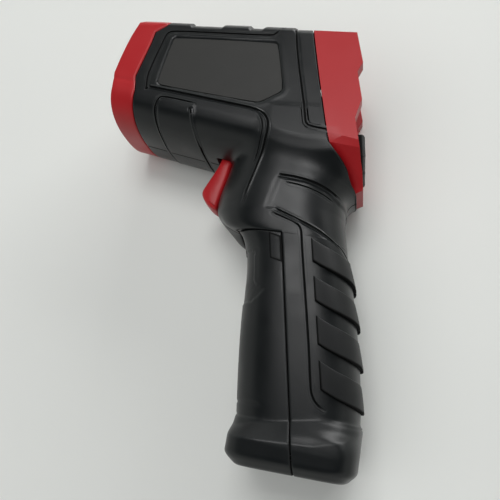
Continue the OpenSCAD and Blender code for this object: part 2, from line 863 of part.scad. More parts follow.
module battery_tray() {
    color("#1a1c1c") on_grip() difference() {
        translate([tray_x, tray_top - tray_len, -tray_half])
            cube([cell_d + tray_wall + 0.6, tray_len, 2 * tray_half]);
        translate([tray_x - 1, tray_top - tray_len + tray_wall, tray_wall - tray_half])
            cube([cell_d + 1.65, tray_len - 2 * tray_wall, 2 * (tray_half - tray_wall)]);
    }
}

// A cell with its button up; flip turns it end for end
module cell(z, flip) {
    on_grip() translate([cell_x, tray_top - tray_wall - 0.4 - (flip ? contact_len - 0.4 : 0), z])
        translate([0, flip ? -cell_len : 0, 0]) rotate([flip ? -90 : 90, 0, 0]) {
            translate([0, 0, 0.8]) cylinder(d = cell_d, h = cell_len - 0.8);
            cylinder(d = 3.8, h = 1);
        }
}

module upper_polarity_cell() {
    color("#b08d3c") cell(cell_z, false);
}

module lower_polarity_cell() {
    color("#b08d3c") cell(-cell_z, true);
}

plate_t = 0.4;
contact_wire = 0.4;
module contact_plates() {
    color("#c8ccd0") on_grip() for (side = [-1, 1], end = [0, 1])
        translate([
            cell_x - 4,
            tray_top - tray_wall - plate_t - end * (tray_len - 2 * tray_wall - plate_t),
            side * cell_z - 4
        ]) cube([8.8, plate_t, 8]);
}

module contact_springs() {
    h = contact_len - plate_t - 2 * contact_wire - 0.05;
    color("#c8ccd0") on_grip() {
        translate([cell_x, tray_top - tray_len + tray_wall + plate_t + contact_wire, cell_z]) rotate([-90, 0, 0])
            coil(3.6, 2.2, h, 3, contact_wire);
        translate([cell_x, tray_top - tray_wall - plate_t - contact_wire, -cell_z]) rotate([90, 0, 0])
            coil(3.6, 2.2, h, 3, contact_wire);
    }
}

// ---- Grip pads ----

pad_pitch = 12.9;
module grip_pads() {
    difference() {
        intersection() {
            grip_form(-pad_rise);
            on_grip() for (i = [0:pad_count - 1]) {
                y = 2.2 - (i + 0.4) * pad_pitch;
                side_prism([[8.6, y + 4.2], [8.6, y - 4.3], [40, y - 17.5], [40, y - 5.2]], 1, far);
            }
        }
        grip_form(0);
    }
}

module left_grip_pads() {
    color("#171a1a") grip_pads();
}

module right_grip_pads() {
    color("#171a1a") mirror([0, 0, 1]) grip_pads();
}

// ---- The whole instrument, seated on its right side ----

mid_x = (foot_back - nose_peak) / 2;
mid_y = -grip_end / 2;

module seated() {
    translate([-mid_x, -mid_y, half_w]) children();
}

seated() left_housing();
seated() right_housing();
seated() nose_bezel();
seated() front_plate();
seated() lens_tube();
seated() infrared_lens();
seated() thermopile_sensor();
seated() sensor_board();
seated() laser_module();
seated() laser_window();
seated() rear_bezel();
seated() display_window();
seated() lcd_module();
seated() main_board();
seated() buzzer();
seated() key_switches();
seated() left_button();
seated() right_button();
seated() board_screws();
seated() left_label_plate();
seated() right_label_plate();
seated() trigger();
seated() trigger_pin();
seated() trigger_spring();
seated() trigger_switch();
seated() battery_door();
seated() door_hinge_pin();
seated() left_door_latch();
seated() right_door_latch();
seated() battery_tray();
seated() upper_polarity_cell();
seated() lower_polarity_cell();
seated() contact_springs();
seated() contact_plates();
seated() left_grip_pads();
seated() right_grip_pads();
seated() housing_screws();
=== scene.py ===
"""Looks of a pistol-form infrared thermometer lying on its right side.

Lengths in the classes are millimetres in the instrument's own axes: x runs from the nose rim to the
display end, y is the height (0 at the top rail, down is negative) and z runs out of the left side.
"""
import sys
import logging
import math
from dataclasses import dataclass
from enum import Enum
from typing import Callable, Optional, Sequence

import bmesh
import bpy
import numpy as np
from mathutils import Matrix, Vector


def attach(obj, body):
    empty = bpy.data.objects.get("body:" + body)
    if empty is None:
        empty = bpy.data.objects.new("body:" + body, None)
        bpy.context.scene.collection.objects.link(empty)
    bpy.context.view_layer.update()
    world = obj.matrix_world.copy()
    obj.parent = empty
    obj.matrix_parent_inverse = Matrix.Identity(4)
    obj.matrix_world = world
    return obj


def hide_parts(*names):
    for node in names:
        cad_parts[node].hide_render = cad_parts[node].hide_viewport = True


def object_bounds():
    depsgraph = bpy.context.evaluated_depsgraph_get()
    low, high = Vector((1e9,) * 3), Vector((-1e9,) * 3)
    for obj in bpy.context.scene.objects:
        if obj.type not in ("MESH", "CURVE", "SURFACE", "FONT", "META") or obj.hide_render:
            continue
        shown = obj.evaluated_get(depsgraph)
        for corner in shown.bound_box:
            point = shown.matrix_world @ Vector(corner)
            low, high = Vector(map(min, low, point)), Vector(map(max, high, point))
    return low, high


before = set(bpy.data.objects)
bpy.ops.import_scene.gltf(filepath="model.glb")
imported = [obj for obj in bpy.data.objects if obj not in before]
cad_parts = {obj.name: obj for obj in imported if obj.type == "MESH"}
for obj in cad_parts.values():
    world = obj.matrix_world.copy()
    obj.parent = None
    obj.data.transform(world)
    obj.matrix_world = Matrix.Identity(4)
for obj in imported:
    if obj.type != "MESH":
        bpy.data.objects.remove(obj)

Array = np.ndarray
MM = 0.001
CAD_LOW, CAD_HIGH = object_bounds()
NOSE_PEAK = 1.7
FRAME_SHIFT = np.array([CAD_LOW[0] + NOSE_PEAK * MM, CAD_HIGH[1], (CAD_LOW[2] + CAD_HIGH[2]) / 2])
# Mesh attribute holding the painted shade of joints, moulded lines, gap walls and pad edges, 0 to 1
PAINTED_SHADE_MASK = "cut_depth"
log = logging.getLogger("thermometer")


def to_frame(p: Array) -> Array:
    """Instrument millimetres as frame metres."""
    return np.asarray(p, float) * MM + FRAME_SHIFT


def line_at(points: Sequence, at: Array) -> Array:
    """Second value of a line of (first, second) points, where the first value is at."""
    return np.interp(at, *zip(*points))


def ease(t: Array) -> Array:
    """Smooth step from 0 to 1."""
    c = np.clip(t, 0.0, 1.0)
    return c * c * (3 - 2 * c)


def soft_max(a: Array, b: Array, k: float) -> Array:
    """The larger of a and b with their meeting line rounded over k."""
    h = np.maximum(k - np.abs(a - b), 0) / k
    return np.maximum(a, b) + h * h * k / 4


def soft_min(a: Array, b: Array, k: float) -> Array:
    """The smaller of a and b with their meeting line rounded over k."""
    return -soft_max(-a, -b, k)


def spaced(length: float, step: float, edge_a: bool = True, edge_b: bool = True) -> Array:
    """Fractions 0..1 along a length, closer together at the edges that are rounded.

    Args:
        length: the length in mm. step: spacing in the middle. edge_a, edge_b: refine that end.
    Returns:
        The sorted fractions.
    """
    fine = np.array([0, 0.06, 0.14, 0.25, 0.4])
    a = fine if edge_a else np.array([0.0])
    b = length - (fine if edge_b else np.array([0.0]))[::-1]
    count = max(2, int(round((b[0] - a[-1]) / step)) + 1)
    middle = np.linspace(a[-1], b[0], count)[1:-1]
    return np.concatenate([a, middle, b]) / length


def rounded_rim(d: Array, r: float = 0.4) -> Array:
    """How far a surface lies under its plane at distance d from an edge rounded to radius r."""
    c = np.clip(d / r, 0, 1)
    return r * (1 - np.sqrt(np.clip(1 - (1 - c) ** 2, 0, 1)))


# ---------------------------------------------------------------- forms


@dataclass(frozen=True)
class HeadForm:
    """The barrel: flat sides, chamfered top with raised lands, and a rounded belly that falls rearward."""

    half: float = 21.5
    nose_high: float = 43.9
    fall: float = 8.9
    belly_depth: float = 12.6
    squareness: float = 2.4
    chamfer: float = 3.2
    rail_step: float = 1.0
    land_ramp: float = 1.1
    edge_round: float = 0.5
    lands: tuple = ((9.0, 23.6), (37.2, 47.0), (53.2, 64.2))

    def belly(self, x: Array) -> Array:
        """Height of the underside on the middle plane."""
        return -self.nose_high - x * math.tan(math.radians(self.fall))

    def belly_top(self, x: Array) -> Array:
        """Height at which the flat side turns into the belly."""
        return self.belly(x) + self.belly_depth

    def top(self, x: Array) -> Array:
        """Height of the top: 0 on a land, one step lower elsewhere.

        Args:
            x: lengths behind the nose.
        Returns:
            Heights.
        """
        rise = np.zeros_like(x)
        ramp = self.land_ramp
        for a, b in self.lands:
            land = np.clip((x - a) / ramp + 1, 0, 1) * np.clip((b - x) / ramp + 1, 0, 1)
            rise = np.maximum(rise, land)
        return (rise - 1) * self.rail_step

    def distance(self, p: Array) -> Array:
        """Signed distance to the barrel's skin, ends left out.

        Args:
            p: points (..., 3).
        Returns:
            Distances, negative inside.
        """
        x, y, z = p[..., 0], p[..., 1], np.abs(p[..., 2])
        depth = self.belly_depth
        a, b = z / self.half, np.maximum(self.belly_top(x) - y, 0) / depth
        n = self.squareness
        s = np.maximum((a**n + b**n) ** (1 / n), 1e-6)
        slope = np.hypot((a / s) ** (n - 1) / self.half, (b / s) ** (n - 1) / depth)
        side = np.where(b > 0, (s - 1) / np.maximum(slope, 1e-4), z - self.half)
        roof = y - self.top(x)
        bevel = (z + roof - self.half + self.chamfer) / math.sqrt(2)
        return soft_max(soft_max(side, bevel, self.edge_round), roof, self.edge_round)

    def section(self, x: Array, where: Array, part: int, inset: Array = 0.0) -> tuple:
        """(y, z) of the outline at x.

        Args:
            x: lengths. where: fraction along the part, same shape. part: 0 top, 1 bevel, 2 side, 3 belly.
            inset: how far the outline is drawn in.
        Returns:
            Arrays y and z.
        """
        top, half = self.top(x) - inset, self.half - inset
        z0 = half - self.chamfer
        if part == 0:
            return top, where * z0
        if part == 1:
            return top - where * self.chamfer, z0 + where * (half - z0)
        belly_top = self.belly_top(x)
        if part == 2:
            high = top - self.chamfer
            return high + where * (belly_top - high), half + 0 * x
        angle = where * math.pi / 2
        p = 2 / self.squareness
        depth = self.belly_depth - inset
        return belly_top - depth * np.sin(angle) ** p, half * np.clip(np.cos(angle), 0, 1) ** p


@dataclass(frozen=True)
class GripForm:
    """The grip: neck, chin, leaning shaft and flared foot, as sections stacked in height."""

    chin_y: float = -70.0
    ledge_y: float = -80.6
    neck_half: float = 19.3
    half: float = 18.5
    foot_half: float = 21.5
    foot_draft: float = 0.1
    draft_y: float = -145.5
    flare_top: tuple = ((70, -142.4), (82.4, -139.3), (97, -135.8), (107, -134.8))
    flare_low: tuple = ((69, -145.6), (84, -144.6), (96, -143.4), (104, -140.6), (109, -137.5))
    toe_out: float = 0.4
    toe_out_y: float = -141.9
    toe_in: float = 1.3
    toe_in_y: float = -149.5
    arch_rise: float = 3.2
    arch_half: float = 16.0
    rear_top: float = 93.5
    rear_low: float = 108.6
    rear_slopes: tuple = (17.0, 3.5)
    neck_slope: float = 0.12
    tail_seat: float = 2.0
    tail_y: float = -64.0
    flare_y: float = -142.1
    heel_y: float = -136.0
    heel_x: float = 107.7
    heel_slope: float = 0.02
    heel_out: float = 1.4
    heel_out_y: float = -134.6
    heel_limit: float = 109.6
    split: tuple = (74.6, -81.6)
    lean: float = 13.4
    square: float = 3.0
    square_neck: float = 0.8
    square_foot: float = 2.2
    foot_y: float = -138.0
    sole_low: float = -153.5
    sole_slope: float = 0.045
    sole_toe: float = 72.0
    sole_bevel: float = 2.8
    sole_round: float = 0.8
    cap_y: float = -38.0

    def front(self, y: Array) -> Array:
        """x of the front on the middle plane: the neck ends in a ledge over the door's top.

        Args:
            y: heights.
        Returns:
            x at each height.
        """
        y = np.asarray(y, float)
        neck, door = (np.interp(-y, -line[:, 1], line[:, 0]) for line in (NECK_FRONT, DOOR_FRONT))
        x = np.where(y > self.ledge_y, neck, door)
        flare, tuck = ease((self.toe_out_y - y) / 3.4), ease((self.toe_in_y - y) / 5)
        return x - self.toe_out * flare + self.toe_in * tuck

    def rear(self, y: Array) -> Array:
        """x of the back on the middle plane: a cubic from the chin to the flare, then the heel.

        Args:
            y: heights.
        Returns:
            x at each height.
        """
        y = np.asarray(y, float)
        t = (self.chin_y - y) / (self.chin_y - self.flare_y)
        leave, arrive = self.rear_slopes
        slack = ((2 * t**3 - 3 * t * t + 1) * self.rear_top + (t**3 - 2 * t * t + t) * leave
                 + (3 * t * t - 2 * t**3) * self.rear_low + (t**3 - t * t) * arrive)
        neck = self.rear_top + (self.chin_y - y) * self.neck_slope
        neck = neck + self.tail_seat * ease((y - self.tail_y) / 6)
        x = np.where(y >= self.chin_y, neck, slack)
        x = np.where(y < self.heel_y, self.heel_x + self.heel_slope * (self.heel_y - y), x)
        return np.minimum(x + self.heel_out * ease((self.heel_out_y - y) / 2.4), self.heel_limit)

    def half_at(self, x: Array, y: Array) -> Array:
        """Half width of the flat side at x, y.

        Args:
            x, y: places on the side.
        Returns:
            Half widths.
        """
        base = self.neck_half + (self.half - self.neck_half) * ease((self.chin_y - y) / 18)
        upper, lower = line_at(self.flare_top, x), line_at(self.flare_low, x)
        draft = self.foot_draft * np.maximum(self.draft_y - y, 0)
        return base + (self.foot_half - self.half) * np.clip((upper - y) / (upper - lower), 0, 1) - draft

    def arch(self, p: Array) -> Array:
        """How far the line between neck and door rises toward the middle plane.

        Args:
            p: points (..., 3).
        Returns:
            How much y grows at each.
        """
        x, y, z = p[..., 0], p[..., 1], np.abs(p[..., 2])
        near = np.where(y > self.ledge_y, ease((-73.0 - y) / 7.4), ease((y + 90.0) / 9.0))
        return self.arch_rise * ease(1 - z / self.arch_half) * ease((63 - x) / 4) * near

    def squareness(self, y: Array, back: Array) -> Array:
        """Exponent of the section at height y, rounder along the front of the neck."""
        neck = np.where(back, 0.0, self.square_neck * (1 - ease((self.chin_y - y) / 9)))
        return self.square - neck + self.square_foot * ease((self.foot_y - y) / 7)

    def sole(self, x: Array) -> Array:
        """Height of the sole at x."""
        return self.sole_low + self.sole_slope * np.maximum(x - self.sole_toe, 0)

    def wall(self, p: Array) -> Array:
        """Signed distance to the upright skin, the sole left out.

        Args:
            p: points (..., 3).
        Returns:
            Distances, negative inside.
        """
        x, y, z = p[..., 0], p[..., 1], np.abs(p[..., 2])
        front, rear = self.front(y), self.rear(y)
        a, b = (rear - front) / 2, self.half_at(x, y)
        n = self.squareness(y, x > (front + rear) / 2)
        u, v = np.abs(x - (front + rear) / 2) / a, z / b
        s = np.maximum((u**n + v**n) ** (1 / n), 1e-6)
        slope = np.hypot((u / s) ** (n - 1) / a, (v / s) ** (n - 1) / b)
        return (s - 1) / np.maximum(slope, 1e-4)

    def distance(self, p: Array) -> Array:
        """Signed distance to the grip's skin with its sole and the bevel round it.

        Args:
            p: points (..., 3).
        Returns:
            Distances, negative inside.
        """
        wall, sole = self.wall(p), self.sole(p[..., 0]) - p[..., 1]
        bevel = (wall + sole + self.sole_bevel) / math.sqrt(2)
        skin = soft_max(soft_max(wall, bevel, self.sole_round), sole, self.sole_round)
        return np.maximum(skin, p[..., 1] - self.cap_y)

    def split_at(self, y: Array) -> Array:
        """x of the line along which the door meets the housing."""
        return self.split[0] + (self.split[1] - y) * math.tan(math.radians(self.lean))

    def row(self, y: float, inset: float, count: int = 700) -> tuple:
        """A dense outline of the section at height y from the front seam to the back seam.

        Args:
            y: height. inset: how far the outline is drawn in. count: samples.
        Returns:
            x, z and running length.
        """
        t = np.linspace(math.pi, 0, count)
        front, rear = float(self.front(y)) + inset, float(self.rear(y)) - inset
        c, s = np.cos(t), np.sin(t)
        n = self.squareness(np.full(count, y), c > 0)
        x = (front + rear) / 2 + (rear - front) / 2 * np.sign(c) * np.abs(c) ** (2 / n)
        z = (self.half_at(x, np.full_like(x, y)) - inset) * np.abs(s) ** (2 / n)
        run = np.concatenate([[0], np.cumsum(np.hypot(np.diff(x), np.diff(z)))])
        return x, z, run


HEAD = HeadForm()
GRIP = GripForm()
NOSE_JOINT = np.array([(14.4, 5), (14.4, -3.7), (10.3, -7), (9.9, -12.3), (7.8, -26.1), (7.6, -27.7),
                       (9.0, -33.5), (8.8, -60)])
BEZEL_JOINT = np.array([(69.5, 5), (71.6, -3.4), (77.2, -23.6), (83.0, -43.2), (84.5, -47.3), (92.3, -55.6),
                        (94.7, -59.6), (95.6, -60.1), (110, -60.3)])
# Radius of the hollow where barrel and grip meet, what it gains to the rear, and the x where that starts
HOLLOW_FRONT, HOLLOW_MORE, HOLLOW_X = 2.6, 2.4, 52.0


def joint_x(line: Array, y: Array) -> Array:
    """x of a joint line at height y."""
    return np.interp(-np.asarray(y, float), -line[:, 1], line[:, 0])


def whole(p: Array) -> Array:
    """Signed distance to the housing: barrel and grip with a soft hollow between them."""
    hollow = HOLLOW_FRONT + HOLLOW_MORE * ease((p[..., 0] - HOLLOW_X) / 9)
    return soft_min(HEAD.distance(p), GRIP.distance(p), hollow)


def gradient(form: Callable[[Array], Array], p: Array) -> Array:
    """Outward direction of a form at p, by small steps.

    Args:
        form: distance function. p: points (..., 3).
    Returns:
        Vectors, about 1 long.
    """
    step = 0.02
    parts = []
    for k in range(3):
        d = np.zeros(3)
        d[k] = step
        parts.append((form(p + d) - form(p - d)) / (2 * step))
    return np.stack(parts, -1)


def settle(p: Array, form: Callable[[Array], Array], rounds: int = 5) -> Array:
    """Moves points onto the zero surface of a form; z = 0 stays on the middle plane.

    Args:
        p: points (..., 3). form: distance function. rounds: Newton steps.
    Returns:
        The moved points.
    """
    for _ in range(rounds):
        g = gradient(form, p)
        g[..., 2] = np.where(p[..., 2] < 1e-6, 0, g[..., 2])
        p = p - g * (form(p) / np.maximum((g * g).sum(-1), 0.05))[..., None]
        p[..., 2] = np.maximum(p[..., 2], 0)
    return p


def unit(v: Array) -> Array:
    """Vectors scaled to length 1."""
    return v / np.maximum(np.linalg.norm(v, axis=-1, keepdims=True), 1e-9)


# ---------------------------------------------------------------- surface features


def smooth_line(points: Sequence, step: float = 0.6, sharp: bool = False) -> Array:
    """A polyline resampled, rounded through its corners unless sharp.

    Args:
        points: 2-D or 3-D points. step: spacing. sharp: keep the corners.
    Returns:
        The resampled points.
    """
    p = np.asarray(points, float)
    if not sharp:
        for _ in range(3):
            q = np.empty((2 * len(p) - 2, p.shape[1]))
            q[0::2] = 0.75 * p[:-1] + 0.25 * p[1:]
            q[1::2] = 0.25 * p[:-1] + 0.75 * p[1:]
            p = np.vstack([p[:1], q, p[-1:]])
    run = np.concatenate([[0], np.cumsum(np.linalg.norm(np.diff(p, axis=0), axis=1))])
    t = np.linspace(0, run[-1], max(2, int(run[-1] / step)))
    return np.stack([np.interp(t, run, p[:, k]) for k in range(p.shape[1])], -1)


NECK_FRONT = smooth_line([(48.0, -30), (48.0, -50), (47.4, -55), (46.6, -61), (45.8, -66), (45.8, -70.3),
                          (46.6, -72.6), (48.1, -74.4), (49.8, -76.6), (51.4, -78.4), (53.0, -79.5),
                          (54.8, -80.2), (57.2, -80.9)], step=0.2)
DOOR_FRONT = smooth_line([(56.6, -80.4), (58.0, -81.6), (59.2, -83.0), (60.5, -85.2), (61.45, -88.8),
                          (62.4, -93.7), (63.35, -102.0), (64.25, -110.3), (65.4, -118.2), (66.65, -126.0),
                          (68.0, -133.3), (69.1, -139.5), (69.5, -142.1), (69.5, -165)], step=0.3)


def near_line(p: Array, line: Array, reach: float) -> tuple:
    """Distance from points to a polyline and how far along it, with far points left at reach.

    Args:
        p: points (..., k). line: polyline (m, k). reach: distance beyond which nothing is worked out.
    Returns:
        distance, fraction along, and the side (positive to the left of the line in x, y).
    """
    shape = p.shape[:-1]
    flat = p.reshape(-1, p.shape[-1])
    dist, along, side = np.full(len(flat), reach), np.zeros(len(flat)), np.zeros(len(flat))
    lo, hi = line.min(0) - reach, line.max(0) + reach
    pick = np.where(((flat > lo) & (flat < hi)).all(1))[0]
    seg_a, seg_d = line[:-1], np.diff(line, axis=0)
    size = (seg_d**2).sum(1)
    for chunk in np.array_split(pick, max(1, len(pick) // 20000)):
        q = flat[chunk][:, None, :] - seg_a[None]
        t = np.clip((q * seg_d).sum(2) / size, 0, 1)
        off = q - t[..., None] * seg_d
        d = np.sqrt((off**2).sum(2))
        best = d.argmin(1)
        rows = np.arange(len(chunk))
        dist[chunk] = d[rows, best]
        along[chunk] = (best + t[rows, best]) / len(seg_a)
        side[chunk] = seg_d[best, 0] * q[rows, best, 1] - seg_d[best, 1] * q[rows, best, 0]
    return (np.minimum(dist, reach).reshape(shape), along.reshape(shape), np.sign(side).reshape(shape))


def inside_shape(p: Array, outline: Array) -> Array:
    """Signed distance in x, y to a closed outline, positive inside.

    Args:
        p: points (..., 2 or more). outline: corners (n, 2).
    Returns:
        Distances.
    """
    x, y = p[..., 0], p[..., 1]
    inside = np.zeros(x.shape, bool)
    ring = np.vstack([outline, outline[:1]])
    best = np.full(x.shape, 1e9)
    for a, b in zip(ring[:-1], ring[1:]):
        crosses = (a[1] > y) != (b[1] > y)
        with np.errstate(divide="ignore", invalid="ignore"):
            inside ^= crosses & (x < (b[0] - a[0]) * (y - a[1]) / (b[1] - a[1]) + a[0])
        d = b - a
        t = np.clip(((x - a[0]) * d[0] + (y - a[1]) * d[1]) / max((d * d).sum(), 1e-9), 0, 1)
        best = np.minimum(best, np.hypot(x - a[0] - t * d[0], y - a[1] - t * d[1]))
    return np.where(inside, best, -best)


@dataclass(frozen=True)
class Groove:
    """A line moulded into the skin: a fine channel with optional raised lips, in a shallow seat."""

    points: Sequence
    width: float = 0.9
    lip: float = 0.0
    fade_start: float = 0.0
    fade_end: float = 0.0
    seat_depth: float = 0.7
    seat_half: float = 0.62

    def fade(self, along: Array) -> Array:
        """1 along the line, falling to 0 at an end that runs out.

        Args:
            along: fractions of the line.
        Returns:
            Shares from 0 to 1.
        """
        fade = np.ones_like(along)
        if self.fade_start:
            fade = fade * ease(along / self.fade_start)
        if self.fade_end:
            fade = fade * ease((1 - along) / self.fade_end)
        return fade

    def rise(self, p: Array) -> Array:
        """The seat that the channel lies in, as a height change of the skin."""
        d, along, _ = near_line(p, smooth_line(seat_line(self.points)), reach=3.0)
        return -self.seat_depth * np.exp(-((d / self.seat_half) ** 4)) * self.fade(along)


def seat_line(points: Sequence) -> Array:
    """Points given as (x, y) on the flat sides, which are laid onto the skin, or as (x, y, z).

    Args:
        points: the line as written.
    Returns:
        Points (n, 3) on the skin.
    """
    start_z = 19.0
    rows = [tuple(p) if len(p) == 3 else (p[0], p[1], start_z) for p in points]
    p = np.array(rows, float)
    keep = p[:, :2].copy()
    flat = np.array([len(q) == 2 for q in points])
    for _ in range(6):
        g = gradient(whole, p)
        f = whole(p)
        p[:, 2] -= np.where(flat, f / np.where(np.abs(g[:, 2]) > 0.2, g[:, 2], 1), 0)
        p[:, :2] = np.where(flat[:, None], keep, p[:, :2])
    return p


# ---------------------------------------------------------------- mesh drafts


class Side(Enum):
    """Which side of the instrument a mirrored piece is on."""

    LEFT = 1
    RIGHT = -1

    @property
    def label(self) -> str:
        """The side's word in the names of pieces, nodes and bodies."""
        return self.name.lower()


class MeshDraft:
    """Collects grids and skirts, then makes one mesh of them."""

    def __init__(self) -> None:
        """Starts with no points."""
        self.points: list = []
        self.faces: list = []
        self.painted_shades: list = []
        self.total = 0

    def add(self, p: Array, cut: Optional[Array] = None) -> Array:
        """Adds points.

        Args:
            p: the points. cut: how much painted shade each point carries in a joint or moulded line, 0 to 1.
        Returns:
            The indices of the points, in the same layout.
        """
        flat = p.reshape(-1, 3)
        index = np.arange(self.total, self.total + len(flat)).reshape(p.shape[:-1])
        self.points.append(flat)
        shade = np.broadcast_to(0.0 if cut is None else cut, p.shape[:-1])
        self.painted_shades.append(shade.reshape(-1))
        self.total += len(flat)
        return index

    def quads(self, index: Array, flip: bool = False, keep: Optional[Array] = None) -> None:
        """Faces between the rows and columns of an index grid.

        Args:
            index: grid of point indices. flip: turn the faces over. keep: mask of the cells to make.
        """
        a, b, c, d = index[:-1, :-1], index[1:, :-1], index[1:, 1:], index[:-1, 1:]
        quad = np.stack([a, d, c, b] if flip else [a, b, c, d], -1).reshape(-1, 4)
        if keep is not None:
            quad = quad[keep.reshape(-1)]
        self.faces.append(quad)

    def grid(self, p: Array, outward: Array, keep: Optional[Array] = None,
             cut: Optional[Array] = None) -> Array:
        """Adds a grid of points with faces that look outward.

        Args:
            p: points (rows, columns, 3). outward: the way the faces look. keep: mask of cells.
            cut: how much painted shade each point carries in a joint.
        Returns:
            The indices of the points.
        """
        index = self.add(p, cut)
        n = np.cross(p[1:, :-1] - p[:-1, :-1], p[:-1, 1:] - p[:-1, :-1])
        flip = (n * outward[:-1, :-1]).sum() < 0
        self.quads(index, flip, keep)
        return index

    def skirt(self, p: Array, inward: Array, outward: Array) -> None:
        """A strip from an edge line into the piece.

        Args:
            p: the edge line. inward: step from each point. outward: the way the strip faces.
        """
        # The strip carries full painted shade, as the inside of a gap lies in shadow
        self.grid(np.stack([p, p + inward]), np.stack([outward, outward]), cut=np.ones((2, len(p))))

    def skirts_round(self, p: Array, inward: Array) -> None:
        """Skirts on all four edges of a grid.

        Args:
            p: the grid's points. inward: step from each point.
        """
        outward = p - p.mean((0, 1))
        for line in ((slice(None), 0), (slice(None), -1), (0, slice(None)), (-1, slice(None))):
            self.skirt(p[line], inward[line], outward[line])

    def finish(self, name: str, side: Side = Side.LEFT, sharp: float = 60.0) -> bpy.types.Object:
        """Makes the object.

        Args:
            name: piece name. side: RIGHT mirrors it. sharp: crease angle in degrees.
        Returns:
            The new object.
        """
        p = np.concatenate(self.points)
        quads = np.concatenate(self.faces)
        used = np.unique(quads)
        remap = np.zeros(len(p), int)
        remap[used] = np.arange(len(used))
        p, quads = p[used], remap[quads]
        painted_shades = np.concatenate(self.painted_shades)[used].astype(np.float32)
        if side is Side.RIGHT:
            p = p * np.array([1, 1, -1])
            quads = quads[:, ::-1]
        mesh = bpy.data.meshes.new(name)
        mesh.from_pydata(to_frame(p).tolist(), [], quads.tolist())
        mesh.attributes.new(PAINTED_SHADE_MASK, "FLOAT", "POINT").data.foreach_set("value", painted_shades)
        mesh.validate()
        mesh.shade_smooth()
        mesh.set_sharp_from_angle(angle=math.radians(sharp))
        obj = bpy.data.objects.new(name, mesh)
        bpy.context.scene.collection.objects.link(obj)
        return obj


def painted_joint_shade(d: Array) -> Array:
    """How much painted shade a skin carries at distance d from a joint, where the gap's shadow falls."""
    return 0.95 * np.exp(-((d / 0.17) ** 2))


def outline_normals(line: Array) -> Array:
    """Outward normals of a closed outline in x, y.

    Args:
        line: points (n, 2).
    Returns:
        Unit vectors (n, 2).
    """
    step = np.roll(line, -1, 0) - np.roll(line, 1, 0)
    normal = unit(np.stack([step[:, 1], -step[:, 0]], -1))
    outward = ((line - line.mean(0)) * normal).sum(1).mean() > 0
    return normal if outward else -normal


def grid_normals(p: Array, outward: Array) -> Array:
    """Unit normals of a point grid, turned to agree with outward."""
    n = unit(np.cross(np.gradient(p, axis=0), np.gradient(p, axis=1)))
    return n * np.where((n * outward).sum(-1, keepdims=True) < 0, -1, 1)


# ---------------------------------------------------------------- finishes


def srgb(r: float, g: float, b: float) -> tuple:
    """An 8-bit colour as linear RGBA.

    Args:
        r, g, b: channels from 0 to 255.
    Returns:
        The colour.
    """
    def one(v: float) -> float:
        """One channel."""
        v /= 255
        return v / 12.92 if v <= 0.04045 else ((v + 0.055) / 1.055) ** 2.4
    return (one(r), one(g), one(b), 1.0)


